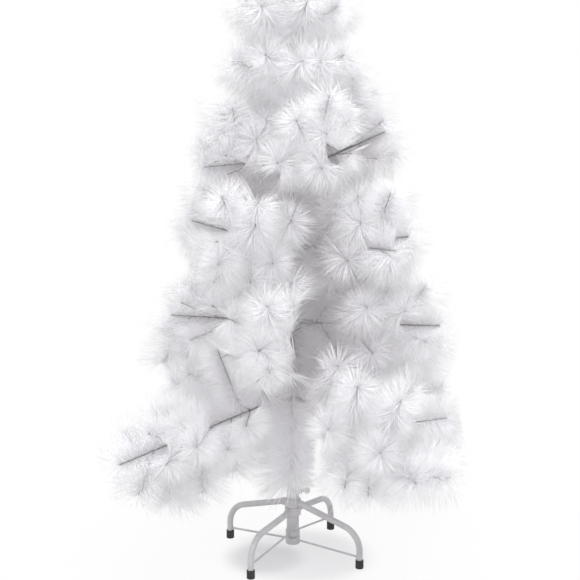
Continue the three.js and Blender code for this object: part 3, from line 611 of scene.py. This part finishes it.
def poles():
    bore = POLE_RADIUS - POLE_WALL
    painted("lower_pole_tube",
            turned_ring(bore, POLE_RADIUS, pole_low, lower_pole_top, POLE_EDGE),
            "lower_section", "lower_pole")
    joint = lower_pole_top + COLLAR_GAP
    swage_end = joint - SWAGE_LENGTH
    bore = SWAGE_RADIUS - POLE_WALL
    profile = [(bore, swage_end), (SWAGE_RADIUS - POLE_EDGE, swage_end),
               (SWAGE_RADIUS, swage_end + POLE_EDGE), (SWAGE_RADIUS, joint - POLE_EDGE),
               (POLE_RADIUS - POLE_EDGE, joint), (POLE_RADIUS, joint + POLE_EDGE),
               (POLE_RADIUS, pole_shoulder)]
    for t in np.linspace(0, math.pi, 7)[1:]:
        share = (1 - math.cos(t)) / 2
        profile.append((POLE_RADIUS + (POLE_TIP_RADIUS - POLE_RADIUS) * share,
                        pole_shoulder + POLE_TIP_LENGTH / 2 * share))
    profile += [(POLE_TIP_RADIUS, upper_pole_top), (POLE_TIP_RADIUS - POLE_WALL, upper_pole_top),
                (POLE_TIP_RADIUS - POLE_WALL, pole_shoulder + POLE_TIP_LENGTH / 2),
                (bore, pole_shoulder)]
    painted("upper_pole_tube", turned_hollow(profile), "upper_section", "upper_pole")


poles()

# Hinge collars: pressed steel bands on the lower pole, each with four pairs of ears.
# Riveted pins in the ears carry the eyes of the branch wires, and a stop holds them open.
COLLAR_NUMBERS = (1, 2, 3, 4)
for number in COLLAR_NUMBERS:
    for material_slot in frame["nodes"]["hinge_collar_" + str(number)].material_slots:
        material_slot.material = zinc

# Branch wires: two steel wires twisted tight around the roots of the needles.
# The thick one ends in an eye on its hinge pin, and the side twigs are bound to it.
WIRE_RADIUS = 0.0019
WIRE_WAIST = 0.52
WIRE_TWIST_PITCH = 0.0095
WIRE_STEP = 0.0017
WIRE_SIDES = 8
WIRE_CREASE = 60
EYE_RADIUS = 0.0034
EYE_WIRE_RADIUS = 0.0013
TWIG_WIRE_RADIUS = WIRE_RADIUS * 0.6
WIRE_DARK = (0.3, 0.295, 0.3, 1)
WIRE_BRIGHT = (0.48, 0.475, 0.485, 1)
wire_steel = worked_finish("branch_wire", WIRE_BRIGHT, WIRE_DARK, roughness=(0.36, 0.6),
                           metallic=0.55, blotch_scale=160, grain_scale=2600,
                           grain_height=0.2)
# Per tier: the hinge's opening angle, then its side twigs' number, length and angles, and
# for each of its four branches how far they spread and lift, and the filling ones rise and hang.
tiers = [{"open": -12, "twigs": 8, "twig": 0.150, "root_yaw": 60, "end_yaw": 32, "pitch": 20,
          "spread": (1, 1, 1, 1), "lift": (1, 1, 0.35, 1),
          "rise": (1.4, 1.4, 0.6, 1.4), "hang": (1, 1, 1.35, 1)},
         {"open": 1, "twigs": 6, "twig": 0.134, "root_yaw": 55, "end_yaw": 34, "pitch": 19,
          "spread": (1, 1, 0.9, 1), "lift": (1, 1, 1, 1),
          "rise": (1, 1, 0.85, 1), "hang": (1, 1, 1.25, 1)},
         {"open": 9, "twigs": 6, "twig": 0.122, "root_yaw": 54, "end_yaw": 34, "pitch": 20,
          "spread": (1, 1, 1, 1), "lift": (1, 1, 1, 1),
          "rise": (1, 1, 1, 1), "hang": (1, 1, 1, 1)},
         {"open": 22, "twigs": 5, "twig": 0.110, "root_yaw": 52, "end_yaw": 34, "pitch": 18,
          "spread": (0.95, 1, 0.78, 1), "lift": (1, 1, 1, 1),
          "rise": (1.05, 0.9, 0.9, 0.9), "hang": (0.9, 0.9, 0.8, 0.9)}]
TWIG_FIRST_SHARE = 0.2
TWIG_LAST_SHARE = 0.62
TWIG_RISE = 0.05
TWIG_TAPER = 0.3
TWIG_SWAY = {"yaw": 4, "pitch": 2, "length": 0.07}
FILL_SWAY = {"yaw": 9, "pitch": 6, "length": 0.1}
BARE_HALF_WIDTH = 0.0024
# Filling twigs: share along the stem, yaw, pitch and length.
FILL_TWIGS = [(0.06, 40, 48, 0.1), (0.1, -44, -38, 0.09), (0.2, -30, 52, 0.1),
              (0.26, 26, -50, 0.09), (0.46, -34, 48, 0.1), (0.5, 30, -46, 0.09),
              (0.56, 36, 46, 0.1), (0.62, -22, -46, 0.09), (0.68, 0, 52, 0.095),
              (0.8, 14, -36, 0.06)]
# Twigs of one branch alone: the same, and the share of the twig from which its wire is bare.
OWN_TWIGS = {"1a": [(0.84, 0, -58, 0.12, 1), (0.95, -24, -44, 0.08, 1),
                    (0.95, -81, -57.7, 0.098, 1)],
             "1b": [(0.75, 44.6, 15.2, 0.103, 1)],
             "1c": [(0.5, -20, -60, 0.15, 1), (0.25, 21.8, 76.5, 0.151, 0.45)],
             "1d": [(0.42, 53, 17, 0.185, 0.7), (0.9, 44, 4, 0.08, 1),
                    (0.9, 103, -3.1, 0.108, 1)],
             "2a": [(0.3, -64.6, 19.7, 0.14, 1)], "2c": [(0.82, 6, -62, 0.115, 1)],
             "3d": [(0.3, -13.8, -8.1, 0.15, 0.55)], "4a": [(0.5, -31.5, 64.4, 0.13, 1)],
             "4c": [(0.2, -12.6, -26.7, 0.115, 0.3)]}
# Twigs bent aside when the tree was set up: their new yaw, pitch and length.
BENT_TWIGS = {"1d": {1: (-22.7, -26.9, 0.132), 9: (9.8, -33, 0.096)},
              "2d": {0: (20.5, 47.2, 0.13), 2: (4, -20, 0.096)}}
# Stretches of the stems that have shed their needles, as shares of the stem.
BARE_STEMS = {"1c": [(0.14, 0.47), (0.72, 1)], "2a": [(0.7, 1)], "2c": [(0.45, 1)],
              "3b": [(0.55, 1)], "3d": [(0.88, 1)], "4a": [(0.25, 1)]}
SWAY_PER_BRANCH = 2.4
SWAY_PER_PLACE = 4.1


def sway(index, place):
    """A steady swing between -1 and 1 that sets like twigs a little apart."""
    return math.sin(index * SWAY_PER_BRANCH + place * SWAY_PER_PLACE)


def level_for(way):
    """Upright, or level for a way that is nearly upright itself."""
    return np.array((0, 0, 1.0)) if abs(way[2]) < 0.9 else np.array((1.0, 0, 0))


def twisted_wire(start, way, length, rise=0.0, radius=WIRE_RADIUS):
    """Two strands twisted together along way, lifted a little towards their cut end."""
    share = np.linspace(0, 1, max(3, int(length / WIRE_STEP)))[:, None]
    run = start + way * length * share + np.array((0, 0, rise * length)) * share ** 2
    ways = np.gradient(run, axis=0)
    ways /= np.linalg.norm(ways, axis=1)[:, None]
    across = np.cross(ways, level_for(ways[0]))
    across /= np.linalg.norm(across, axis=1)[:, None]
    up = np.cross(across, ways)
    travelled = np.concatenate([[0], np.cumsum(np.linalg.norm(np.diff(run, axis=0), axis=1))])
    angles = np.linspace(0, 2 * np.pi, WIRE_SIDES, endpoint=False)
    reach = radius * np.sqrt(np.cos(angles) ** 2 + (WIRE_WAIST * np.sin(angles)) ** 2)
    spin = travelled[:, None] / WIRE_TWIST_PITCH * 2 * np.pi + angles[None, :]
    offset = (np.cos(spin)[..., None] * across[:, None] + np.sin(spin)[..., None] * up[:, None])
    points = run[:, None] + reach[None, :, None] * offset
    faces = []
    last = (len(run) - 1) * WIRE_SIDES
    for low in range(0, last, WIRE_SIDES):
        for k in range(WIRE_SIDES):
            j = (k + 1) % WIRE_SIDES
            faces.append((low + k, low + WIRE_SIDES + k, low + WIRE_SIDES + j, low + j))
    faces.append(tuple(range(WIRE_SIDES)))
    faces.append(tuple(range(last, last + WIRE_SIDES))[::-1])
    return [tuple(p) for p in points.reshape(-1, 3)], faces


def wire_eye(matrix):
    """The wire's end bent into a ring around the hinge pin."""
    points, faces = [], []
    around, sides = 28, 12
    for i in range(around):
        turn = 2 * math.pi * i / around
        for k in range(sides):
            angle = 2 * math.pi * k / sides
            out = EYE_RADIUS + EYE_WIRE_RADIUS * math.cos(angle)
            points.append((out * math.cos(turn), EYE_WIRE_RADIUS * math.sin(angle),
                           out * math.sin(turn)))
            a, b = i * sides + k, i * sides + (k + 1) % sides
            c, d = (a + sides) % (around * sides), (b + sides) % (around * sides)
            faces.append([a, b, d, c])
    return moved((points, faces), matrix)


def wire_piece(name, parts, body, node=None):
    return piece(name, together(*parts), wire_steel, body, node, WIRE_CREASE)


def branch_place(name, opening):
    """Pin point, frame and reach of a branch, from its hinge."""
    joint = next(j for j in frame["joints"] if j["name"] == name + "_hinge")
    pin = Vector(joint["pos_m"])
    outward = Vector((pin.x, pin.y, 0)).normalized()
    azimuth = math.atan2(outward.y, outward.x)
    matrix = (Matrix.Translation(pin) @ Matrix.Rotation(azimuth, 4, "Z")
              @ Matrix.Rotation(-math.radians(opening), 4, "Y"))
    wire = frame["nodes"][name + "_wire"].data
    return pin, matrix, max((v.co - pin).length for v in wire.vertices)


def twig_places(spot, branch, reach):
    """Each side twig's place along its branch, yaw, pitch, length and bare share."""
    tier = tiers[branch // 4]
    found = []
    for i in range(tier["twigs"]):
        share = i / (tier["twigs"] - 1)
        side = 1 if i % 2 == 0 else -1
        rising = 1 if (i + 1) // 2 % 2 == 0 else -1
        yaw = tier["root_yaw"] + (tier["end_yaw"] - tier["root_yaw"]) * share
        yaw = side * (yaw + TWIG_SWAY["yaw"] * sway(branch, i))
        pitch = rising * tier["pitch"] * tier["lift"][branch % 4]
        pitch += TWIG_SWAY["pitch"] * sway(branch + 1, i)
        along = reach * (TWIG_FIRST_SHARE + (TWIG_LAST_SHARE - TWIG_FIRST_SHARE) * share)
        length = tier["twig"] * tier["spread"][branch % 4] * (1 - TWIG_TAPER * share)
        length *= 1 + TWIG_SWAY["length"] * sway(branch + 2, i)
        found.append((along, yaw, pitch, length, 1))
    for share, yaw, pitch, length in FILL_TWIGS:
        stretch = tier["rise" if pitch > 0 else "hang"][branch % 4]
        yaw += FILL_SWAY["yaw"] * sway(branch + 3, share)
        pitch *= 1 + (stretch - 1) / 2
        pitch += FILL_SWAY["pitch"] * sway(branch + 4, share)
        length *= stretch
        length *= 1 + FILL_SWAY["length"] * sway(branch + 5, share)
        found.append((reach * share, yaw, pitch, length, 1))
    for i, bent in BENT_TWIGS.get(spot, {}).items():
        found[i] = (found[i][0], *bent, 1)
    for share, *own in OWN_TWIGS.get(spot, []):
        found.append((reach * share, *own))
    return found


branches, bared = [], []
for branch in range(4 * len(tiers)):
    spot = str(branch // 4 + 1) + "abcd"[branch % 4]
    name = "branch_" + spot
    pin, matrix, reach = branch_place(name, tiers[branch // 4]["open"])
    turned_only = matrix.to_3x3()
    start, along = np.array(pin), np.array(turned_only @ Vector((1, 0, 0)))
    for first, last in BARE_STEMS.get(spot, []):
        bared.append((start, along, reach * first, reach * last, BARE_HALF_WIDTH))
    rod = twisted_wire(start + along * (EYE_RADIUS + EYE_WIRE_RADIUS / 2), along,
                       reach - EYE_RADIUS - EYE_WIRE_RADIUS / 2)
    wire_piece(name + "_stem", [wire_eye(matrix), rod], name, name + "_wire")
    twigs = []
    for place, yaw, pitch, length, bare_from in twig_places(spot, branch, reach):
        root = np.array(matrix @ Vector((place, 0, 0)))
        way = np.array(turned_only @ way_of(yaw, pitch))
        twigs.append((root, way, length, TWIG_RISE if bare_from == 1 else 0.0))
        if bare_from < 1:
            bared.append((root, way, length * bare_from, length, BARE_HALF_WIDTH))
    twig_piece = wire_piece(name + "_twigs",
                            [twisted_wire(*twig, TWIG_WIRE_RADIUS) for twig in twigs], name)
    branches.append((name, matrix, (start, along, reach, 0.0), twigs, twig_piece))

# Needles: long, thin strips of white film plastic, caught between the two twisted wires.
# They stand out all round the wire, lean a little towards its end and droop very slightly,
# and part around bared stems and gaps.
NEEDLE_LENGTH = 0.062
NEEDLE_ROOT_RADIUS = 0.0004
NEEDLE_MID_RADIUS = 0.00036
NEEDLE_MID_SHARE = 0.5
NEEDLE_SEAT_SHARE = 0.35
NEEDLES_PER_METRE = 7600
NEEDLE_LENGTH_SPREAD = 0.08
NEEDLE_LEAN = 76
NEEDLE_LEAN_AT_END = 60
NEEDLE_LEAN_SPREAD = 6
NEEDLE_AIM_SPREAD = 0.03
NEEDLE_PHASE_SPREAD = 0.5
NEEDLE_WAVE = 0.0024
NEEDLE_DROOP = 0.004
END_TAPER_LENGTH = 0.03
END_TRIM = 0.14
START_TAPER_LENGTH = 0.04
START_LENGTH_SHARE = 0.86
BARE_END = 0.002
WIDEST_REACH = 0.353
MOST_TRIM_SHARE = 0.6
# Gaps: each one's start and way, where it begins and ends along it, and half its width.
GAPS = [((0.0486, -0.05, 0.5185), (-0.483, 0, -0.876), 0.0, 0.085, 0.018),
        ((0.0113, -0.05, 0.4632), (0.086, 0, -0.996), 0.0, 0.089, 0.014),
        ((0.0431, 0.3, 0.1445), (0, 0, -1.0), 0.0, 0.083, 0.014),
        ((0.0574, -0.02, 0.8158), (0.476, 0, -0.879), 0.01, 0.055, 0.01),
        ((-0.0764, -0.02, 0.7158), (0.842, 0, 0.540), 0.0, 0.062, 0.009)]
GAP_WIDTH_SHARE = 0.75
GAP_WAVE_SHARE = 0.4
GAP_FRAY_SHARE = 0.35
GAP_WAVES = (230, 120, 170)
GAP_TEST_SHARES = (0.08, 0.25, 0.45, 0.65, 0.85, 1)
CAMERA_PLACE = np.array(bpy.context.scene.camera.location)
# Places deep in the tree where shade is painted on the needles: centre, radius of full painted
# shade, and radius where it ends.
PAINTED_SHADE_PLACES = [((0.02, -0.03, 0.44), 0.07, 0.19), ((0.06, -0.02, 0.785), 0.05, 0.13),
               ((-0.05, -0.02, 0.72), 0.04, 0.11), ((0.06, -0.03, 0.6), 0.05, 0.14)]
TONE_SPREAD = 0.2
# Film colours: white, and a darker end for random tone and painted shade; then the painted glow's
# colours and strength.
NEEDLE_WHITE = (0.96, 0.955, 0.975, 1)
NEEDLE_DULL_AND_PAINTED_SHADE = (0.86, 0.843, 0.865, 1)
PAINTED_GLOW_WHITE = (1, 0.985, 1, 1)
PAINTED_GLOW_DIM_AND_SHADED = (0.7, 0.685, 0.7, 1)
NEEDLE_PAINTED_GLOW = 0.14
NEEDLE_SPECULAR = 0.3
NEEDLE_ROUGHNESS = (0.55, 0.75)
ROOT_FADE_SHARE = 0.35
ROOT_PAINTED_SHADE = 0.88
SHEET_EDGE = 0.02
SHEET_WIDTH = 0.95
SHEET_STRIP = 0.002
chance = np.random.default_rng(24)


def needle_finish():
    """White film plastic with painted shade at the root and deep in the tree, a little different
    from needle to needle, and a faint painted glow.
    """
    finish = bpy.data.materials.new("needle_film")
    finish.use_nodes = True
    tree = finish.node_tree
    sheet = new_node(tree, "UVMap", uv_map="OFBake")
    parted = new_node(tree, "SeparateXYZ", {0: sheet.outputs["UV"]}).outputs
    # The sheet's X holds each needle's own tone together with the painted shade of the places
    # deep in the tree.
    each = new_node(tree, "MapRange", {"Value": parted["X"]},
                    interpolation_type="SMOOTHERSTEP").outputs["Result"]
    # Painted shade: each needle is darker towards its root, deep in the brush.
    root_painted_shade = new_node(tree, "MapRange", {"Value": parted["Y"], "From Max": ROOT_FADE_SHARE,
                                            "To Min": ROOT_PAINTED_SHADE, "To Max": 1})
    both = new_node(tree, "Math", {0: root_painted_shade.outputs["Result"], 1: each},
                    operation="MULTIPLY")
    colour = new_node(tree, "Mix", {"Factor": both.outputs[0], "A": NEEDLE_DULL_AND_PAINTED_SHADE,
                                    "B": NEEDLE_WHITE}, data_type="RGBA")
    gloss = new_node(tree, "MapRange", {"Value": parted["X"], "To Min": NEEDLE_ROUGHNESS[0],
                                        "To Max": NEEDLE_ROUGHNESS[1]})
    # Painted light: the needles glow faintly, dimmer where shade is painted, standing in for
    # light that passes through the thin film.
    painted_glow_colour = new_node(tree, "Mix", {"Factor": each, "A": PAINTED_GLOW_DIM_AND_SHADED, "B": PAINTED_GLOW_WHITE},
                     data_type="RGBA")
    shader = tree.nodes["Principled BSDF"]
    tree.links.new(painted_glow_colour.outputs["Result"], shader.inputs["Emission Color"])
    tree.links.new(colour.outputs["Result"], shader.inputs["Base Color"])
    tree.links.new(gloss.outputs["Result"], shader.inputs["Roughness"])
    shader.inputs["Emission Strength"].default_value = NEEDLE_PAINTED_GLOW
    shader.inputs["Specular IOR Level"].default_value = NEEDLE_SPECULAR
    return finish


needle_film = needle_finish()


def clear_of_partings(roots, ways, lengths, partings):
    """True for each needle that doesn't lie across the front of a bared stem or a gap."""
    clear = np.ones(len(roots), bool)
    width_share = GAP_WIDTH_SHARE + GAP_WAVE_SHARE * np.sin(roots @ GAP_WAVES)
    width_share = width_share + chance.uniform(-GAP_FRAY_SHARE, GAP_FRAY_SHARE, len(roots))
    for start, way, first, last, half_width in partings:
        if half_width > BARE_HALF_WIDTH:
            half_width = half_width * width_share
        start, way = np.array(start), np.array(way)
        toward = CAMERA_PLACE - start
        seen_along = toward @ way
        up = toward - seen_along * way
        seen_up = np.linalg.norm(up)
        up /= seen_up
        side = np.cross(way, up)
        beside_root = (roots - start) @ side
        beside_tip = beside_root + lengths * (ways @ side)
        crossing = beside_root / np.where(beside_root == beside_tip, 1, beside_root - beside_tip)
        stops = [np.where(beside_root * beside_tip < 0, crossing, -1)]
        stops += [np.full(len(roots), share) for share in GAP_TEST_SHARES]
        for share in stops:
            spot = roots + ways * (lengths * share)[:, None] - start
            above = spot @ up
            along = seen_along + (spot @ way - seen_along) * seen_up / (seen_up - above)
            across = (np.abs(spot @ side) < half_width) & (above > WIRE_RADIUS / 2)
            clear &= ~((share >= 0) & across & (along > first) & (along < last))
    return clear


def wound_needles(start, way, length, rise, from_share, to_share=1.0, density=1.0, size=1.0,
                  blunt=False):
    """Roots, ways, lengths and bends of the needles wound into one wire."""
    first, last = length * from_share, length * to_share - (0 if blunt else BARE_END)
    count = int((last - first) * NEEDLES_PER_METRE * density)
    along = np.sort(chance.uniform(first, last, count))
    share = along / length
    centre = start + way * along[:, None] + np.array((0, 0, rise * length)) * share[:, None] ** 2
    across = np.cross(way, level_for(way))
    across /= np.linalg.norm(across)
    up = np.cross(across, way)
    phase = along / WIRE_TWIST_PITCH * 2 * np.pi + np.pi * chance.integers(0, 2, count)
    phase += chance.normal(0, NEEDLE_PHASE_SPREAD, count)
    out = np.cos(phase)[:, None] * across + np.sin(phase)[:, None] * up
    near_end = np.zeros(count) if blunt else np.clip(1 - (last - along) / END_TAPER_LENGTH, 0, 1)
    lean = np.radians(NEEDLE_LEAN + (NEEDLE_LEAN_AT_END - NEEDLE_LEAN) * near_end ** 2
                      + chance.normal(0, NEEDLE_LEAN_SPREAD, count))
    ways = np.sin(lean)[:, None] * out + np.cos(lean)[:, None] * way
    ways += chance.normal(0, NEEDLE_AIM_SPREAD, (count, 3))
    ways /= np.linalg.norm(ways, axis=1)[:, None]
    lengths = NEEDLE_LENGTH * size * (1 + chance.normal(0, NEEDLE_LENGTH_SPREAD, count))
    past_start = np.clip((along - first) / START_TAPER_LENGTH, 0, 1)
    lengths *= START_LENGTH_SHARE + (1 - START_LENGTH_SHARE) * past_start
    lengths *= 1 - END_TRIM * near_end
    bends = chance.normal(0, NEEDLE_WAVE, (count, 3)) * size
    bends[:, 2] -= NEEDLE_DROOP * size * np.hypot(ways[:, 0], ways[:, 1])
    roots = centre + out * WIRE_RADIUS * NEEDLE_SEAT_SHARE
    past = np.abs(roots + ways * lengths[:, None])[:, :2].max(1) - WIDEST_REACH
    lengths -= np.clip(past, 0, MOST_TRIM_SHARE * lengths)
    return roots, ways, lengths, bends


def needle_tones(roots):
    """From 0 to 1 for each needle: its own chance, less in the places where shade is painted."""
    unshaded = np.ones(len(roots))
    for place, full_shade_radius, shade_end_radius in PAINTED_SHADE_PLACES:
        away = np.linalg.norm(roots - place, axis=1)
        unshaded = np.minimum(unshaded, np.clip((away - full_shade_radius) / (shade_end_radius - full_shade_radius),
                                          0, 1))
    return unshaded * (1 - TONE_SPREAD) + TONE_SPREAD * chance.uniform(0, 1, len(roots))


def needle_piece(name, sets, body, node=None, partings=()):
    """One mesh of closed three-sided needles, each with its own spot on the bake sheet."""
    roots, ways, lengths, bends = (np.concatenate([s[k] for s in sets]) for k in range(4))
    clear = clear_of_partings(roots, ways, lengths, partings)
    roots, ways, lengths, bends = roots[clear], ways[clear], lengths[clear], bends[clear]
    count = len(roots)
    level = np.where(np.abs(ways[:, 2:3]) < 0.9, np.array((0, 0, 1.0)), np.array((1.0, 0, 0)))
    across = np.cross(ways, level)
    across /= np.linalg.norm(across, axis=1)[:, None]
    up = np.cross(ways, across)
    spin = chance.uniform(0, 2 * np.pi, count)
    middle = roots + ways * (lengths * NEEDLE_MID_SHARE)[:, None] + bends * NEEDLE_MID_SHARE ** 2
    points = np.empty((count, 7, 3))
    for k in range(3):
        angle = spin + 2 * np.pi * k / 3
        offset = np.cos(angle)[:, None] * across + np.sin(angle)[:, None] * up
        points[:, k] = roots + offset * NEEDLE_ROOT_RADIUS
        points[:, 3 + k] = middle + offset * NEEDLE_MID_RADIUS
    points[:, 6] = roots + ways * lengths[:, None] + bends
    corners = np.array([2, 1, 0, 0, 1, 4, 3, 1, 2, 5, 4, 2, 0, 3, 5, 3, 4, 6, 4, 5, 6, 5, 3, 6])
    starts = np.array([0, 3, 7, 11, 15, 18, 21])
    mesh = bpy.data.meshes.new(name)
    mesh.vertices.add(count * 7)
    mesh.vertices.foreach_set("co", points.astype(np.float32).ravel())
    loops = (np.arange(count)[:, None] * 7 + corners).ravel().astype(np.int32)
    mesh.loops.add(len(loops))
    mesh.loops.foreach_set("vertex_index", loops)
    mesh.polygons.add(count * 7)
    firsts = (np.arange(count)[:, None] * len(corners) + starts).ravel().astype(np.int32)
    mesh.polygons.foreach_set("loop_start", firsts)
    mesh.polygons.foreach_set("use_smooth", np.ones(count * 7, bool))
    beside = np.array([0, 1, 2, 0, 1, 2, 1])[corners] * SHEET_STRIP
    flat = np.empty((count, len(corners), 2), np.float32)
    # Each needle's spot across the sheet holds its own tone and the painted shade of the places
    # deep in the tree.
    flat[:, :, 0] = (SHEET_EDGE + SHEET_WIDTH * needle_tones(roots))[:, None] + beside
    flat[:, :, 1] = np.array([SHEET_EDGE] * 3 + [0.5] * 3 + [1 - SHEET_EDGE])[corners]
    mesh.update(calc_edges=True)
    sheet = mesh.uv_layers.new(name="OFBake")
    sheet.data.foreach_set("uv", flat.ravel())
    return placed(name, mesh, needle_film, body, node)


END_BRUSH_SHARE = 0.42
INNER_START_SHARE = 0.03
INNER_DENSITY = 0.55
INNER_NEEDLE_SHARE = 0.75
TWIG_BRUSH_START_SHARE = 0.14
for name, matrix, main, twigs, twig_piece in branches:
    sets = [wound_needles(*main, END_BRUSH_SHARE),
            wound_needles(*main, INNER_START_SHARE, END_BRUSH_SHARE, INNER_DENSITY,
                          INNER_NEEDLE_SHARE, True)]
    sets += [wound_needles(*twig, TWIG_BRUSH_START_SHARE) for twig in twigs]
    needles = needle_piece(name + "_needles", sets, name, name + "_spray", bared + GAPS)
    for soft in (needles, twig_piece):
        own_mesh(soft)

# Pole needles: loose strips of the same film wound around the pole between the hinge collars,
# and a fuller garland from the first collar down over the socket's top.
GARLAND_LOW = 0.150
GARLAND_DENSITY = 3.6
GARLAND_NEEDLE_SHARE = 0.92
GARLAND_ONE_SIDED = 0.32
GARLAND_DROOP = 0.8
GARLAND_TOP_PAST_COLLAR = 0.01
GARLAND_TOP_DROOP = 0.5
UNDERCOAT_DENSITY = 3
UNDERCOAT_NEEDLE_SHARE = 0.35
WRAP_DENSITIES = (3.2, 1.5, 0.7)
WRAP_NEEDLE_SHARE = 0.8
WRAP_SEAT_SHARE = 0.95
WRAP_DROOP_LENGTH = 0.03
WRAP_DROOP_SPREAD = 0.12
WRAP_AIM_SPREAD = 0.2


def pole_wrap(bottom, top, density, size, droop, one_sided=0.0):
    """Needles that stand out level from the pole between two heights."""
    count = int((top - bottom) * NEEDLES_PER_METRE * density)
    height = chance.uniform(bottom, top, count)
    turn = chance.uniform(0, 2 * np.pi, count)
    out = np.stack([np.cos(turn), np.sin(turn), np.zeros(count)], 1)
    roots = out * POLE_RADIUS * WRAP_SEAT_SHARE
    roots[:, 2] = height
    sink = (1 - np.clip((height - bottom) / WRAP_DROOP_LENGTH, 0, 1)) * droop
    sink += chance.normal(0, WRAP_DROOP_SPREAD, count)
    side = np.stack([-np.sin(turn), np.cos(turn), np.zeros(count)], 1)
    ways = out + side * chance.normal(0, WRAP_AIM_SPREAD, (count, 1))
    ways[:, 2] -= sink
    ways /= np.linalg.norm(ways, axis=1)[:, None]
    lengths = NEEDLE_LENGTH * size * (1 + chance.normal(0, NEEDLE_LENGTH_SPREAD, count))
    lengths *= 1 - one_sided * np.cos(turn)
    bends = chance.normal(0, NEEDLE_WAVE, (count, 3)) * size
    return roots, ways, lengths, bends


collar_heights = [tuple(corner.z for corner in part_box("hinge_collar_" + str(number)))
                  for number in COLLAR_NUMBERS]
first_low, first_high = collar_heights[0]
needle_piece("garland_needles",
             [pole_wrap(GARLAND_LOW, first_low, GARLAND_DENSITY, GARLAND_NEEDLE_SHARE,
                        GARLAND_DROOP, GARLAND_ONE_SIDED),
              pole_wrap(first_low, first_high + GARLAND_TOP_PAST_COLLAR, GARLAND_DENSITY,
                        GARLAND_NEEDLE_SHARE, GARLAND_TOP_DROOP),
              pole_wrap(GARLAND_LOW, first_low, UNDERCOAT_DENSITY, UNDERCOAT_NEEDLE_SHARE,
                        GARLAND_DROOP)],
             "lower_section", "trunk_garland")
wrap_ends = (first_high, collar_heights[1][0], collar_heights[-1][1], lower_pole_top)
needle_piece("pole_wrap_needles",
             [pole_wrap(low, high, density, WRAP_NEEDLE_SHARE, 0)
              for low, high, density in zip(wrap_ends, wrap_ends[1:], WRAP_DENSITIES)],
             "lower_section")

# Top sprays: needled wires bound to the upper pole in five rings, too short to need hinges.
# Their wires are wrapped on with the pole's own winding of needles.
FIXED_SIDE_YAW = 46
FIXED_SIDE_START_SHARE = 0.34
FIXED_SIDE_LENGTH_SHARE = 0.74
FIXED_BRUSH_START_SHARE = 0.1
# Rings of sprays: height above the lower pole, azimuth, number, tilt, length and side tips.
lower_whorls = [(0.072, 62, 4, 33, 0.126, 2), (0.166, 17, 4, 38, 0.116, 1)]
upper_whorls = [(0.254, 50, 4, 43, 0.107, 0), (0.328, 5, 4, 49, 0.0995, 0),
                (0.402, 50, 3, 57, 0.0958, 0)]


def fixed_sprays(name, node, whorls):
    wires, sets = [], []
    for height, azimuth, count, tilt, length, side_tips in whorls:
        for i in range(count):
            place = (turn_about_pole(azimuth + 360 * i / count)
                     @ Matrix.Translation((0, 0, lower_pole_top + height))
                     @ Matrix.Rotation(-math.radians(tilt), 4, "Y"))
            tips = [(0.0, 0, length)]
            for side in (1, -1)[:side_tips]:
                tips.append((length * FIXED_SIDE_START_SHARE, side * FIXED_SIDE_YAW,
                             length * FIXED_SIDE_LENGTH_SHARE))
            for start, yaw, reach in tips:
                twig = (np.array(place @ Vector((start, 0, 0))),
                        np.array(place.to_3x3() @ way_of(yaw, 0)), reach, TWIG_RISE)
                wires.append(twisted_wire(*twig, TWIG_WIRE_RADIUS))
                sets.append(wound_needles(*twig, FIXED_BRUSH_START_SHARE))
    wire_piece(name + "_wires", wires, "upper_section")
    needle_piece(name + "_needles", sets, "upper_section", node)


fixed_sprays("lower_top", "top_sprays_lower", lower_whorls)
fixed_sprays("upper_top", "top_sprays_upper", upper_whorls)
needle_piece("upper_pole_wrap_needles",
             [pole_wrap(lower_pole_top, pole_shoulder, WRAP_DENSITIES[-1], WRAP_NEEDLE_SHARE, 0)],
             "upper_section")

# Leader: one straight needled wire that stands in the drawn-in top of the pole.
# Its needles are packed closer than on the branches, and its foot is bare where it plugs in.
LEADER_PLUG = 0.014
LEADER_NEEDLES_PAST_TIP = 0.022
LEADER_BRUSH_START_SHARE = 0.07
LEADER_DENSITY = 1.8
LEADER_NEEDLE_SHARE = 0.9


def leader():
    start = np.array((0, 0, upper_pole_top - LEADER_PLUG))
    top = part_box("top_leader")[1].z - LEADER_NEEDLES_PAST_TIP
    wire = (start, np.array((0, 0, 1.0)), top - start[2], 0.0)
    wire_piece("leader_wire", [twisted_wire(*wire)], "upper_section")
    needle_piece("leader_needles",
                 [wound_needles(*wire, LEADER_BRUSH_START_SHARE, 1, LEADER_DENSITY,
                                LEADER_NEEDLE_SHARE)],
                 "upper_section", "top_leader")


leader()
